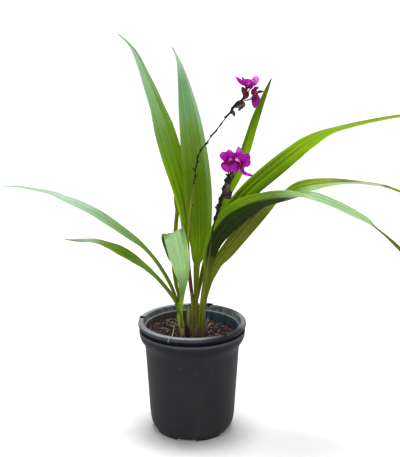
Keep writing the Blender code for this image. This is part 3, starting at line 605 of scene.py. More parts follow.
SHOOTS = {
    "shoot_left": [(-0.0146, -0.0100, 0.132, 0.0026), (-0.0153, -0.0100, 0.158, 0.0028),
                   (-0.0186, -0.0105, 0.182, 0.0034), (-0.0208, -0.0110, 0.205, 0.0036)],
    "shoot_centre": [(0.004, -0.006, 0.132, 0.0058), (0.004, -0.006, 0.158, 0.0056),
                     (0.005, -0.006, 0.207, 0.0042)],
    "shoot_right": [(0.0145, -0.007, 0.132, 0.005), (0.0145, -0.007, 0.158, 0.0048),
                    (0.016, -0.007, 0.208, 0.0038)],
}
OLD_SHOOT = [(-0.006, -0.013, 0.132, 0.0030), (-0.0055, -0.013, 0.172, 0.0031),
             (-0.0045, -0.0122, 0.198, 0.0026), (-0.004, -0.012, 0.2048, 0.0008)]
SPAN_STEPS = 24
ROUGH_SCALE = 600
WRAP_STEPS = 60
WRAP_CLEARANCE = 0.0005
WRAP_RUFFLE = 0.0003
WRAP_SLANT = 0.002
WRAP_TIP_SPREAD = 0.06


def run_along(points):
    """How far along its row each point lies."""
    return np.concatenate([[0], np.cumsum(np.linalg.norm(np.diff(points, axis=0), axis=1))])


def smooth_path(points, count):
    """Rows spread evenly along a smooth curve through the points; later columns ride along."""
    given = np.array(points, float)
    ends = np.vstack([2 * given[0] - given[1], given, 2 * given[-1] - given[-2]])
    fine = []
    for before, start, end, after in zip(ends, ends[1:], ends[2:], ends[3:]):
        for t in np.linspace(0, 1, SPAN_STEPS, endpoint=False):
            square = (2 * before - 5 * start + 4 * end - after) * t ** 2
            cube = (3 * start - before - 3 * end + after) * t ** 3
            fine.append(start + ((end - before) * t + square + cube) / 2)
    fine.append(given[-1])
    fine = np.array(fine)
    run = run_along(fine[:, :3])
    spots = np.linspace(0, run[-1], count)
    return np.column_stack([np.interp(spots, run, column) for column in fine.T])


def tangents(centres):
    return [Vector(t).normalized() for t in np.gradient(np.array(centres), axis=0)]


def stem(points, count, sides, ribs=0, rib_depth=0.0, rough=0.0):
    """A round or ribbed bar along a smooth path of x, y, z and radius."""
    rows = smooth_path(points, count)
    across = Vector((1, 0, 0))
    rings = []
    for row, way in zip(rows.tolist(), tangents(rows[:, :3])):
        across = (across - way * across.dot(way)).normalized()
        up = way.cross(across)
        ring = []
        for k in range(sides):
            angle = 2 * math.pi * k / sides
            out = across * math.cos(angle) + up * math.sin(angle)
            swell = 1 + rib_depth * math.cos(ribs * angle)
            spot = Vector(row[:3]) + out * row[3] * swell
            ring.append(spot + out * row[3] * rough * noise.noise(spot * ROUGH_SCALE))
        rings.append(ring)
    return skinned(rings)


def shell(pairs, shares=None):
    """Close rows of upper and lower points into one thin skin.  Shares are the rows' places along it."""
    rows, wide = len(pairs), len(pairs[0])
    points = [pair[side] for side in (0, 1) for row in pairs for pair in row]
    under = rows * wide
    faces = []
    for r in range(rows - 1):
        for k in range(wide - 1):
            a = r * wide + k
            faces.append((a, a + 1, a + wide + 1, a + wide))
            faces.append((under + a, under + a + wide, under + a + wide + 1, under + a + 1))
        for a in (r * wide, r * wide + wide - 1):
            faces.append((a, a + wide, under + a + wide, under + a))
    for k in range(wide - 1):
        for a in (k, (rows - 1) * wide + k):
            faces.append((a, a + 1, under + a + 1, under + a))
    shares = shares or [r / (rows - 1) for r in range(rows)]
    along = [share for share in shares for _ in range(wide)] * 2
    across = [2 * k / (wide - 1) - 1 for _ in range(rows) for k in range(wide)] * 2
    return Shape(points, faces, along, across)


def sheath(points, low, high, turn, spread, flare, thickness=0.0004, rows=20, columns=16):
    """A sheath that hugs a stem between two shares of its length, drawn out to a point that faces turn."""
    path = smooth_path(points, WRAP_STEPS)
    skin = []
    for t in np.linspace(0, 1, rows):
        row = path[int((WRAP_STEPS - 1) * (low + (high - low) * t))]
        half = spread * (1 - t ** 2.5) + WRAP_TIP_SPREAD
        line = []
        for s in np.linspace(-1, 1, columns + 1):
            angle = math.radians(turn) + s * half
            out = Vector((math.cos(angle), math.sin(angle), 0))
            ruffle = WRAP_RUFFLE * noise.noise(Vector((s * 3, t * 4, turn)))
            reach = row[3] + WRAP_CLEARANCE + flare * t ** 2 + ruffle
            spot = Vector(row[:3]) + Vector((0, 0, (high - low) * WRAP_SLANT * s))
            line.append((spot + out * (reach + thickness), spot + out * reach))
        skin.append(line)
    return shell(skin)


def plant_skin(name, tones, lines, streak, roughness=0.45, tooth=0.35):
    """Green or dry skin: tones for places along it, fine lines lengthwise, and streaks of another tone."""
    material, graph = new_finish(name, 0.2)
    along = graph.attribute("along")
    cloud = graph.noise(graph.place(), 180, 3, 0.6)
    colour = graph.ramp(along + (cloud - 0.5) * 0.12, [(spot, pigment(*tone)) for spot, *tone in tones])
    strand = graph.noise(graph.vector(graph.attribute("across") * lines, along * 2.5, 0.0), 2.6, 4, 0.6)
    colour = graph.coats(colour, (graph.step(strand, 0.52, 0.7) * 0.5, *streak))
    colour = graph.tints(colour, (graph.step(strand, 0.52, 0.3) * 0.7, 0.42, 0.36, 0.30))
    return end_finish(material, graph, colour, roughness - 0.05 + 0.25 * cloud, strand, 0.0005, tooth)


fresh_green = plant_skin("fresh_sheath", [
    (0.0, 180, 160, 100), (0.30, 194, 188, 100), (0.55, 172, 184, 80), (0.8, 146, 176, 54),
    (1.0, 138, 170, 44),
], 7.0, (196, 190, 124))
olive_green = plant_skin("olive_sheath", [
    (0.0, 128, 112, 84), (0.4, 112, 104, 50), (0.7, 100, 104, 36), (1.0, 108, 122, 34),
], 9.0, (164, 148, 104))
stub_green = plant_skin("stub_sheath", [
    (0.0, 60, 46, 30), (0.5, 122, 118, 60), (0.85, 134, 144, 72), (1.0, 70, 70, 34),
], 8.0, (88, 84, 40))
dry_tan = plant_skin("dry_sheath_tan", [(0.0, 110, 84, 60), (0.5, 150, 122, 90), (1.0, 176, 150, 112)],
                     12.0, (92, 66, 48), 0.8)
dry_dark = plant_skin("dry_bract_dark", [(0.0, 34, 22, 18), (0.5, 58, 38, 30), (1.0, 84, 60, 44)],
                      12.0, (30, 20, 17), 0.85)

# The living and the dry sheaths of each shoot: where on its length they start and end, the way they face in
# degrees, half their spread in radians, and how far their tips stand off
WRAPS = {
    "shoot_left": ([(0.30, 0.80, 250, 2.4, 0.0003), (0.30, 0.56, 60, 2.2, 0.0004)], []),
    "shoot_centre": ([(0.28, 0.86, 265, 2.3, 0.0003), (0.28, 0.66, 200, 2.0, 0.0004)],
                     [(0.26, 0.54, 310, 0.7, 0.0005), (0.26, 0.46, 250, 0.6, 0.0004),
                      (0.26, 0.62, 350, 0.5, 0.0006)]),
    "shoot_right": ([(0.28, 0.84, 300, 2.3, 0.0003), (0.28, 0.64, 240, 2.0, 0.0004)],
                    [(0.26, 0.48, 285, 0.6, 0.0006), (0.24, 0.62, 345, 0.5, 0.0050),
                     (0.24, 0.52, 10, 0.5, 0.0085)]),
}
BRACT_WRAPS = ((0.15, 0.62, 200, 2.2, 0.0012), (0.15, 0.55, 320, 2.0, 0.0016), (0.12, 0.44, 270, 1.8, 0.0020))
for name, path in SHOOTS.items():
    green = fresh_green if name == "shoot_left" else olive_green
    living, dry = ([sheath(path, *wrap) for wrap in wraps] for wraps in WRAPS[name])
    core = stem(path, 26, 28, 5, 0.05, 0.05)
    settle(new_piece(name + "_stem", joined([core] + living), green), "sheath", name)
    if dry:
        settle(new_piece(name + "_dry_sheaths", joined(dry), dry_tan), "dry_sheath")
stub = new_piece("old_shoot_stub", stem(OLD_SHOOT, 24, 24, 4, 0.06, 0.08), stub_green)
settle(stub, "dry_sheath", "shoot_old")
bracts = new_piece("old_shoot_bracts", joined([sheath(OLD_SHOOT, *wrap) for wrap in BRACT_WRAPS]), dry_dark)
settle(bracts, "dry_sheath")


# Leaves
# Ten long pleated leaves, each one blade drawn out to a point on a slim channelled stalk that grows from a
# shoot.  The pleats fold the blade lengthwise, and its skin is satin, with fine parallel veins.

PETIOLE_THICKNESS = 0.0034
BLADE_THICKNESS = 0.0006
SEAT_HALF_WIDTH = 0.0026
TIP_HALF_WIDTH = 0.0005
SHEATH_LEVELS = ((0.166, 0.8), (0.190, 1.0))
SHEATH_FOLD = 0.9
PLAIN_FOLD = 0.3
PLEAT_DEPTH = 0.055
PLEAT_RIPPLE = 0.03
LIMP_PLEATS = 0.45
RIPPLES = 46.0
RIPPLE_SLANT = 1.7
CREASE_ROUNDING = 0.06
EDGE_THINNING = 0.5
BLADE_ROWS = 96
BLADE_COLUMNS = 44

Leaf = namedtuple("Leaf", "shoot seat heading width petiole swell crease pleats stalk path")

# A leaf's path runs from its stalk to its tip: x, y, z, the blade's turn in degrees about the path, and its
# fold where that isn't the plain one.  Its seat is where its stalk leaves the shoot, its heading in degrees
# from +X is the way it leans, and petiole is the share of its length that is stalk.  Swell holds how it
# widens and narrows, crease is where across it the fold lies, and stalk is half the width of its stalk.
LEAVES = {
    "leaf_tall_left": Leaf("shoot_centre", (-0.0030, 0.0022), 115, 0.034, 0.22, (0.5, 0.95), 0, 4, 0.0034, [
        (-0.0062, 0.000, 0.266, 0), (-0.0082, 0.008, 0.311, 0), (-0.012, 0.020, 0.357, 0),
        (-0.038, 0.055, 0.441, -10), (-0.054, 0.080, 0.486, 10), (-0.085, 0.120, 0.559, 20),
        (-0.100, 0.132, 0.582, 20), (-0.118, 0.142, 0.598, 0),
    ]),
    "leaf_tall_centre": Leaf("shoot_centre", (0.0008, -0.0025), 80, 0.041, 0.15, (0.55, 0.95), 0, 4, 0.0050, [
        (0.007, -0.006, 0.261, 5), (0.011, -0.001, 0.294, 5), (0.011, 0.006, 0.338, 5),
        (0.008, 0.016, 0.389, 5), (0.001, 0.034, 0.446, 10), (-0.006, 0.050, 0.490, 15),
        (-0.014, 0.066, 0.530, 35), (-0.021, 0.076, 0.558, 55), (-0.030, 0.084, 0.580, 60),
    ]),
    "leaf_narrow_right": Leaf("shoot_centre", (0.0004, 0.0030), 40, 0.0175, 0.22, (0.6, 0.7), 0, 3, 0.0052, [
        (0.0202, 0.004, 0.263, 10), (0.0335, 0.012, 0.304, 10), (0.051, 0.028, 0.356, 10),
        (0.073, 0.044, 0.399, 10), (0.097, 0.068, 0.471, 15), (0.109, 0.078, 0.502, 10),
        (0.121, 0.086, 0.533, 10),
    ]),
    "leaf_high_arch": Leaf("shoot_right", (-0.0016, 0.0024), 12, 0.028, 0.12, (0.5, 0.85), 0, 4, 0.0036, [
        (0.021, -0.004, 0.247, 60), (0.031, 0.002, 0.292, 60), (0.054, 0.010, 0.334, 60),
        (0.084, 0.020, 0.370, 60), (0.129, 0.034, 0.406, 55), (0.154, 0.042, 0.424, 45),
        (0.177, 0.048, 0.439, 30), (0.218, 0.058, 0.456, 7), (0.318, 0.078, 0.475, -1),
        (0.382, 0.088, 0.473, 0), (0.431, 0.094, 0.456, 0),
    ]),
    "leaf_middle_arch": Leaf("shoot_right", (0.0026, -0.0004), 0, 0.028, 0.08, (0.55, 0.95), 0, 4, 0.0036, [
        (0.026, -0.009, 0.234, -75, 0.2), (0.0368, -0.009, 0.266, -80, 0.2),
        (0.0522, -0.009, 0.285, -80, 0.2), (0.081, -0.009, 0.323, -80, 0.2), (0.101, -0.009, 0.347, -75, 0.2),
        (0.123, -0.010, 0.365, -40), (0.143, -0.012, 0.376, 8), (0.171, -0.015, 0.386, 34, 0.2),
        (0.218, -0.020, 0.392, 10, 0.2), (0.271, -0.025, 0.389, 5, 0.1), (0.300, -0.025, 0.380, 14, 0.1),
        (0.337, -0.025, 0.366, 20, 0.1),
    ]),
    "leaf_front_arch": Leaf("shoot_right", (-0.0014, -0.0026), -22, 0.037, 0.10, (0.62, 0.95), -0.45, 4,
                            0.0038, [
        (0.021, -0.013, 0.242, -70, 0.1), (0.025, -0.015, 0.278, -80, 0.1), (0.034, -0.018, 0.307, -85),
        (0.052, -0.022, 0.333, -75, 0.5), (0.072, -0.028, 0.350, -50, 0.5), (0.094, -0.037, 0.364, -30, 0.5),
        (0.119, -0.048, 0.373, -20, 0.5), (0.145, -0.0575, 0.379, -10, 0.5), (0.160, -0.0625, 0.382, 6, 0.5),
        (0.178, -0.069, 0.379, 13), (0.207, -0.078, 0.369, 9, 0.2), (0.240, -0.090, 0.354, 3, 0.1),
        (0.2525, -0.0945, 0.345, -12, 0.1), (0.270, -0.101, 0.331, -22, 0.1),
        (0.287, -0.107, 0.316, -30, 0.1), (0.328, -0.118, 0.275, -36, 0.1),
    ]),
    "leaf_long_left": Leaf("shoot_left", (-0.0022, 0.0015), 168, 0.018, 0.22, (0.8, 1.1), 0, 3, 0.0032, [
        (-0.030, -0.007, 0.226, -40), (-0.048, -0.004, 0.259, -35), (-0.069, 0.000, 0.285, -20),
        (-0.094, 0.006, 0.304, -28), (-0.149, 0.022, 0.337, -25), (-0.199, 0.038, 0.356, -14),
        (-0.220, 0.044, 0.363, -2), (-0.274, 0.058, 0.370, 0), (-0.307, 0.066, 0.366, 0),
    ]),
    "leaf_short_left": Leaf("shoot_left", (-0.0014, -0.0029), 195, 0.0175, 0.24, (0.8, 0.9), 0, 3, 0.0032, [
        (-0.028, -0.015, 0.214, -60), (-0.049, -0.020, 0.244, -55), (-0.067, -0.026, 0.263, -35),
        (-0.087, -0.032, 0.280, -40), (-0.104, -0.037, 0.292, -40), (-0.138, -0.046, 0.309, -10),
        (-0.163, -0.054, 0.313, -10), (-0.181, -0.060, 0.317, 0),
    ]),
    "leaf_folded": Leaf("shoot_left", (0.0026, -0.0016), 90, 0.032, 0.07, (0.95, 0.6), 0, 3, 0.0036, [
        (-0.014, -0.018, 0.236, 0, 0.15), (-0.015, -0.022, 0.260, 0, 0.15), (-0.019, -0.025, 0.284, 0, 0.15),
        (-0.022, -0.027, 0.303, -10, 0.15), (-0.025, -0.023, 0.3145, -20, 0.1),
        (-0.027, -0.016, 0.3165, -24, 0.1), (-0.0300, -0.011, 0.308, -18, 0.1),
        (-0.0288, -0.010, 0.290, 0, 0.15), (-0.0284, -0.012, 0.268, 0, 0.15),
    ]),
    "leaf_back": Leaf("shoot_left", (0.0004, 0.0029), 100, 0.020, 0.50, (0.5, 0.85), 0, 3, 0.0032, [
        (-0.0205, -0.0040, 0.216, 0, 0.2), (-0.0245, 0.0000, 0.232, 0, 0.2), (-0.0283, 0.0070, 0.265, 0, 0.2),
        (-0.025, 0.020, 0.313, 0, 0.2), (-0.022, 0.040, 0.342, 0, 0.2), (-0.016, 0.064, 0.379, 0, 0.2),
        (-0.010, 0.088, 0.422, 0, 0.2), (-0.004, 0.106, 0.463, 0, 0.2),
    ]),
}

# The plant's tones, from the shaded feet of the leaves to their pale tips; the darkest are painted shade and
# the palest painted sheen
PAINTED_SHADE_GREEN = pigment(30, 44, 0)
DEEP = pigment(58, 88, 0)
GRASS = pigment(80, 114, 2)
FRESH = pigment(104, 142, 4)
LIME = pigment(126, 166, 4)
GOLD = pigment(128, 146, 14)
SPROUT = pigment(142, 172, 56)
OLIVE = pigment(100, 112, 20)
MOSS = pigment(88, 96, 20)
SAGE = pigment(100, 136, 48)
MINT = pigment(122, 162, 98)
SEA = pigment(114, 158, 106)
SPRING = pigment(150, 194, 118)
JADE = pigment(150, 186, 128)
PALE = pigment(152, 188, 152)
PALE_SHEEN = pigment(176, 208, 182)
STRAW = pigment(176, 184, 142)
WITHERED = pigment(116, 116, 80)

# Each leaf's tones along its blade, and those of its edge on one side with the place across where they start
# Over the leaves' own greens and dry tips, these tones paint shade where a blade turns from the light, sheen
# where it faces
# the sky, and one half of each folded blade lighter or darker as painted light and shade
LEAF_TONES_AND_PAINTED_LIGHT = {
    "leaf_tall_left": (
        ((0.12, OLIVE), (0.26, LIME), (0.34, FRESH), (0.44, FRESH), (0.56, SAGE), (0.68, MINT), (0.88, PALE)),
        ((0.20, GRASS), (0.40, FRESH), (0.56, FRESH), (0.68, SAGE), (0.82, MINT)), -0.3,
    ),
    "leaf_tall_centre": (
        ((0.12, OLIVE), (0.22, FRESH), (0.32, GRASS), (0.50, GRASS), (0.64, SAGE), (0.80, SEA), (0.86, SEA),
         (0.96, PALE_SHEEN)),
        ((0.10, OLIVE), (0.25, FRESH), (0.45, SAGE), (0.64, MINT), (0.82, PALE)), -0.62,
    ),
    "leaf_narrow_right": (
        ((0.12, OLIVE), (0.30, GRASS), (0.40, FRESH), (0.66, LIME), (0.78, FRESH), (0.86, GRASS),
         (0.96, OLIVE)),
        ((0.30, GRASS), (0.42, PAINTED_SHADE_GREEN), (0.52, DEEP), (0.62, GRASS)), 0.4,
    ),
    "leaf_high_arch": (
        ((0.08, OLIVE), (0.14, GRASS), (0.22, GRASS), (0.32, FRESH), (0.42, FRESH), (0.52, LIME),
         (0.62, LIME), (0.76, GOLD)),
        ((0.30, DEEP), (0.42, GRASS), (0.54, LIME)), -0.5,
    ),
    "leaf_middle_arch": (
        ((0.12, OLIVE), (0.28, MOSS), (0.44, MOSS), (0.54, SAGE), (0.60, SPRING), (0.76, STRAW),
         (0.83, STRAW), (0.85, WITHERED), (0.88, GOLD)),
        ((0.12, OLIVE), (0.28, MOSS), (0.40, MOSS), (0.46, FRESH), (0.54, FRESH), (0.60, GOLD), (0.66, GOLD),
         (0.72, DEEP), (0.78, STRAW), (0.83, STRAW), (0.85, WITHERED), (0.88, SAGE)), 0.02,
    ),
    "leaf_front_arch": (
        ((0.08, OLIVE), (0.16, PAINTED_SHADE_GREEN), (0.48, PAINTED_SHADE_GREEN), (0.56, JADE), (0.76, JADE), (0.79, MOSS)),
        ((0.06, OLIVE), (0.18, FRESH), (0.38, FRESH), (0.46, SAGE), (0.54, SPRING), (0.70, PALE),
         (0.76, PALE), (0.79, MOSS)), -0.52,
    ),
    "leaf_long_left": (
        ((0.12, OLIVE), (0.28, SAGE), (0.44, MINT), (0.56, PALE), (0.70, PALE_SHEEN)),
        ((0.30, SAGE), (0.60, PALE)), 0.4,
    ),
    "leaf_short_left": (
        ((0.12, OLIVE), (0.36, SAGE), (0.55, GRASS), (0.70, SAGE), (0.84, PALE), (0.97, WITHERED)),
        ((0.30, GRASS), (0.70, SAGE)), 0.5,
    ),
    "leaf_folded": (
        ((0.02, SPROUT), (0.10, SAGE), (0.24, MINT), (0.34, SPRING), (0.54, JADE), (0.64, JADE), (0.72, SAGE),
         (0.80, DEEP)),
        ((0.02, SPROUT), (0.10, SAGE), (0.30, MINT), (0.50, SPRING), (0.70, DEEP)), -0.55,
    ),
    "leaf_back": (
        ((0.10, OLIVE), (0.28, GOLD), (0.46, GOLD), (0.60, FRESH), (0.72, GRASS), (1.00, SAGE)),
        ((0.30, OLIVE), (0.50, GRASS)), -0.6,
    ),
}


def leaf_skin(name, tones, side_tones_with_painted_light, edge_start):
    """Satin leaf skin: tones along it, others along one edge that are painted light on some leaves and
    painted shade on others, a painted highlight on the edges, fine parallel veins and small flecks.
    """
    material, graph = new_finish(name, 0.10)
    along = graph.attribute("along")
    across = graph.attribute("across")
    place = graph.place()
    cloud = graph.noise(place, 38, 3, 0.6)
    drift = along + (cloud - 0.5) * 0.10
    outward = across * (1 if edge_start > 0 else -1)
    painted_side_share = graph.step(outward, abs(edge_start) - 0.10, abs(edge_start) + 0.10)
    streak = graph.noise(graph.vector(across * 12.0, along * 3.0, cloud), 2.2, 4, 0.62)
    wobble = (graph.noise(graph.vector(across * 2.0, along * 9.0, 0.0), 2.0, 1) - 0.5) * 0.5
    waves = graph.wave(across * 62.0 + wobble)
    crests = graph.step(waves, 0.3, 1.0)
    midrib = 1 - graph.step(abs(across), 0.0, 0.045)
    edge_highlight = graph.step(abs(across), 0.90, 0.98)
    flecks = graph.step(graph.noise(place, 420, 1), 0.74, 0.79) * graph.step(cloud, 0.5, 0.7)
    tip = graph.step(along + (cloud - 0.5) * 0.03, 0.972, 0.995)

    # One side of the blade takes its own tones: painted light on some leaves, painted shade on others
    colour = graph.mix(painted_side_share * 0.85, graph.ramp(drift, tones), graph.ramp(drift, side_tones_with_painted_light))
    # Streaks, vein crests and troughs and a lighter midrib tint the colour; a painted highlight lightens the
    # edges
    colour = graph.tints(colour, (graph.step(streak, 0.50, 0.30) * 0.8, 0.66, 0.70, 0.55),
                         (graph.step(streak, 0.52, 0.72) * 0.85, 1.42, 1.32, 1.6),
                         (crests * 0.7, 1.45, 1.30, 1.55),
                         (graph.step(waves, -0.4, -1.0) * 0.75, 0.68, 0.74, 0.58),
                         (midrib * 0.7 + edge_highlight * 0.6, 1.7, 1.5, 1.8))
    colour = graph.coats(colour, (flecks * 0.5, 122, 104, 50), (tip * 0.85, 104, 74, 50))
    roughness = 0.30 + 0.18 * cloud + 0.06 * crests
    return end_finish(material, graph, colour, roughness, waves * 0.3 + streak * 0.6, 0.0006)


def leaf_blade(leaf):
    """The blade and its stalk, still unpleated, and the way out of its face at each point.

    The stalk's foot wraps the shoot as a gutter, below the share 0 of the leaf's length.
    """
    shoot = np.array(SHOOTS[leaf.shoot])
    start = []
    for level, out in SHEATH_LEVELS:
        x, y = (float(np.interp(level, shoot[:, 2], shoot[:, column])) for column in (0, 1))
        start.append((x + leaf.seat[0] * out, y + leaf.seat[1] * out, level, 0, SHEATH_FOLD))
    path = [(*point, PLAIN_FOLD)[:5] for point in leaf.path]
    rows = smooth_path(start + path, BLADE_ROWS)
    run = run_along(rows[:, :3])
    low = BLADE_ROWS // 3
    leaving = float(np.interp(shoot[-1, 2], rows[:low, 2], run[:low]))
    shares = np.maximum(0, (run - leaving) / (run[-1] - leaving)).tolist()
    heading = math.radians(leaf.heading)
    side = Vector((-math.sin(heading), math.cos(heading), 0))
    rise, fall = leaf.swell
    peak = rise / (rise + fall)
    highest = peak ** rise * (1 - peak) ** fall
    skin, ways = [], []
    for row, way, share in zip(rows.tolist(), tangents(rows[:, :3]), shares):
        grown = max(0.0, (share - leaf.petiole) / (1 - leaf.petiole))
        blade = leaf.width / 2 * grown ** rise * (1 - grown) ** fall / highest
        young = min(1.0, share / leaf.petiole)
        stalk = (SEAT_HALF_WIDTH + (leaf.stalk - SEAT_HALF_WIDTH) * young) * (1 - grown) ** 2
        half = math.hypot(blade, stalk) + TIP_HALF_WIDTH * grown
        thick = np.interp(share, [0.0, leaf.petiole, leaf.petiole + 0.15],
                          [PETIOLE_THICKNESS / 2, PETIOLE_THICKNESS / 2.4, BLADE_THICKNESS / 2])
        across = (side - way * side.dot(way)).normalized()
        across = Matrix.Rotation(math.radians(row[3]), 3, way) @ across
        facing = way.cross(across)
        line = []
        for place in np.linspace(-1, 1, BLADE_COLUMNS + 1).tolist():
            bend = math.hypot(place - leaf.crease, CREASE_ROUNDING) - math.hypot(leaf.crease, CREASE_ROUNDING)
            lift = row[4] * (bend + np.sign(leaf.crease) * place)
            middle = Vector(row[:3]) + (across * place + facing * float(lift)) * half
            rim = float(thick) * (1 - EDGE_THINNING * place ** 2)
            line.append((middle + facing * rim, middle - facing * rim))
            ways.append(facing * half)
        skin.append(line)
    return shell(skin, shares), ways + ways


def pleating():
    """Fold a blade into lengthwise pleats, and let its edges ripple."""
    graph, given = new_recipe("pleating", ["Pleats", "Depth", "Ripple"])
    along = graph.stored("along")
    across = graph.stored("across")
    way = graph.stored("way", "FLOAT_VECTOR")
    turn = across * given["Pleats"] * math.pi
    fold = graph.wave(turn, "COSINE") + 0.3 * graph.wave(turn * 3.0, "COSINE")
    ripple = graph.wave(along * RIPPLES + across * RIPPLE_SLANT)
    rise = given["Ripple"] * ripple * abs(across) ** 4 - given["Depth"] * fold
    shift = graph.add("ShaderNodeVectorMath", {"operation": "SCALE"}, {0: way, 3: rise})
    moved = graph.add("GeometryNodeSetPosition", None, {"Geometry": given["Geometry"], "Offset": shift})
    end_recipe(graph, given, moved)
    return graph


def keep_ways(mesh, ways):
    """Store a direction for each of the mesh's points."""
    flat = [value for way in ways for value in way]
    mesh.attributes.new("way", "FLOAT_VECTOR", "POINT").data.foreach_set("vector", flat)


pleat = pleating()
for name, leaf in LEAVES.items():
    finish = leaf_skin(name + "_skin", *LEAF_TONES_AND_PAINTED_LIGHT[name])
    shape, ways = leaf_blade(leaf)
    blade = new_piece(name + "_blade", shape, finish)
    keep_ways(blade.data, ways)
    limp = name == "leaf_folded"
    follow_recipe(blade, pleat, Pleats=float(leaf.pleats), Depth=PLEAT_DEPTH * (LIMP_PLEATS if limp else 1.0),
                  Ripple=0.0 if limp else PLEAT_RIPPLE, Finish=finish)
    blade.data.attributes.remove(blade.data.attributes["way"])
    settle(blade, "leaf", name)


# Flower stalks
# Two slim stalks that rise from the shoots' feet, green below and dark brown above, where flowers have
# fallen.  Scars with small dry bracts stay there, and withered flowers and maroon buds are at the top.

TALL_STALK = [
    (0.0005, -0.0165, 0.132, 0.0019), (0.0005, -0.0165, 0.160, 0.0019), (-0.0008, -0.0170, 0.217, 0.0018),
    (-0.0030, -0.0200, 0.253, 0.0016), (-0.0060, -0.0240, 0.290, 0.0014), (-0.0055, -0.0250, 0.320, 0.0015),
    (-0.0010, -0.0240, 0.366, 0.0011), (0.0050, -0.0210, 0.406, 0.0008), (0.0078, -0.0190, 0.426, 0.0008),
    (0.0135, -0.0180, 0.439, 0.0008), (0.0280, -0.0150, 0.458, 0.0008), (0.0520, -0.0120, 0.489, 0.0009),
    (0.0633, -0.0115, 0.504, 0.0015), (0.0690, -0.0110, 0.508, 0.0015), (0.0738, -0.0100, 0.513, 0.0012),
]
SHORT_STALK = [
    (0.0150, -0.0190, 0.132, 0.0018), (0.0150, -0.0190, 0.160, 0.0018), (0.0165, -0.0200, 0.213, 0.0016),
    (0.0190, -0.0230, 0.245, 0.0013), (0.0260, -0.0270, 0.287, 0.0011), (0.0280, -0.0290, 0.309, 0.0011),
    (0.0300, -0.0290, 0.322, 0.0010), (0.0334, -0.0290, 0.337, 0.0011), (0.0366, -0.0275, 0.349, 0.0013),
    (0.0390, -0.0260, 0.360, 0.0014), (0.0467, -0.0220, 0.382, 0.0015), (0.0518, -0.0210, 0.398, 0.0016),
    (0.0548, -0.0215, 0.405, 0.0012),
]
TALL_SCARS = (0.56, 0.61, 0.64, 0.66, 0.69, 0.71, 0.73, 0.76, 0.79, 0.82, 0.845, 0.87, 0.90, 0.92, 0.94, 0.96)
SHORT_SCARS = (0.67, 0.74, 0.76, 0.78, 0.80, 0.82, 0.84, 0.86, 0.88, 0.90, 0.92, 0.94, 0.96)
SCAR_SWELL = 1.6
SCAR_KINK = 0.0005
SCAR_TURN_RADIANS = 2.4
SIDE_STEM_TONE = 0.9
BRACT_RADIUS = 0.0018
BRACT_LENGTH = 0.0042
TALL_WITHERED = [
    [(0.0650, -0.0115, 0.5060, 0.0022), (0.0712, -0.0140, 0.5070, 0.0034), (0.0738, -0.0150, 0.5030, 0.0026),
     (0.0690, -0.0150, 0.4985, 0.0020), (0.0667, -0.0150, 0.4945, 0.0006)],
    [(0.0610, -0.0120, 0.5000, 0.0012), (0.0660, -0.0130, 0.5020, 0.0026), (0.0700, -0.0135, 0.5060, 0.0014)],
    [(0.0545, -0.0120, 0.4935, 0.0014), (0.0590, -0.0125, 0.4925, 0.0028), (0.0612, -0.0130, 0.4868, 0.0008)],
]
TALL_BUDS = [
    [(0.0738, -0.0110, 0.5110, 0.0012), (0.0755, -0.0150, 0.5185, 0.0034), (0.0735, -0.0160, 0.5245, 0.0036),
     (0.0712, -0.0160, 0.5290, 0.0012)],
    [(0.0740, -0.0110, 0.5110, 0.0012), (0.0785, -0.0135, 0.5165, 0.0030), (0.0808, -0.0125, 0.5220, 0.0012)],
]
SHORT_WITHERED = [
    [(0.0545, -0.0222, 0.4050, 0.0014), (0.0540, -0.0230, 0.3970, 0.0030), (0.0526, -0.0240, 0.3890, 0.0033),
     (0.0512, -0.0250, 0.3815, 0.0044), (0.0525, -0.0255, 0.3745, 0.0056), (0.0545, -0.0255, 0.3705, 0.0030),
     (0.0550, -0.0250, 0.3680, 0.0006)],
    [(0.0530, -0.0215, 0.4010, 0.0012), (0.0580, -0.0235, 0.4030, 0.0022), (0.0605, -0.0240, 0.3995, 0.0012)],
    [(0.0548, -0.0210, 0.4040, 0.0014), (0.0590, -0.0205, 0.4085, 0.0018), (0.0630, -0.0200, 0.4095, 0.0010)],
    [(0.0530, -0.0215, 0.4020, 0.0016), (0.0500, -0.0225, 0.4040, 0.0014), (0.0490, -0.0230, 0.4060, 0.0006)],
]
BUD_STALK = [
    (0.0735, -0.0095, 0.5110, 0.0009), (0.0765, -0.0035, 0.5170, 0.0009), (0.0835, -0.0044, 0.5245, 0.0009),
    (0.0866, -0.0042, 0.5286, 0.0009),
]


def bracting():
    """Put a small dry bract, a flat cone, on each point, leaning out along the point's own way."""
    graph, given = new_recipe("bracting", ["Bract_Radius", "Bract_Length"])
    sizes = {"Vertices": 7, "Side Segments": 3, "Radius Top": 0.0001, "Radius Bottom": given["Bract_Radius"],
             "Depth": given["Bract_Length"]}
    cone = graph.add("GeometryNodeMeshCone", None, sizes)
    points = graph.add("GeometryNodeMeshToPoints", None, {"Mesh": given["Geometry"]})
    turn = graph.add("FunctionNodeAlignRotationToVector", {"axis": "Z"},
                     {"Vector": graph.stored("way", "FLOAT_VECTOR")})
    size = graph.draws((0.5, 0.8, 0.7), (0.8, 1.3, 1.5), 7)
    copies = graph.add("GeometryNodeInstanceOnPoints", None,
                       {"Points": points, "Instance": cone, "Rotation": turn, "Scale": size})
    end_recipe(graph, given, copies)
    return graph


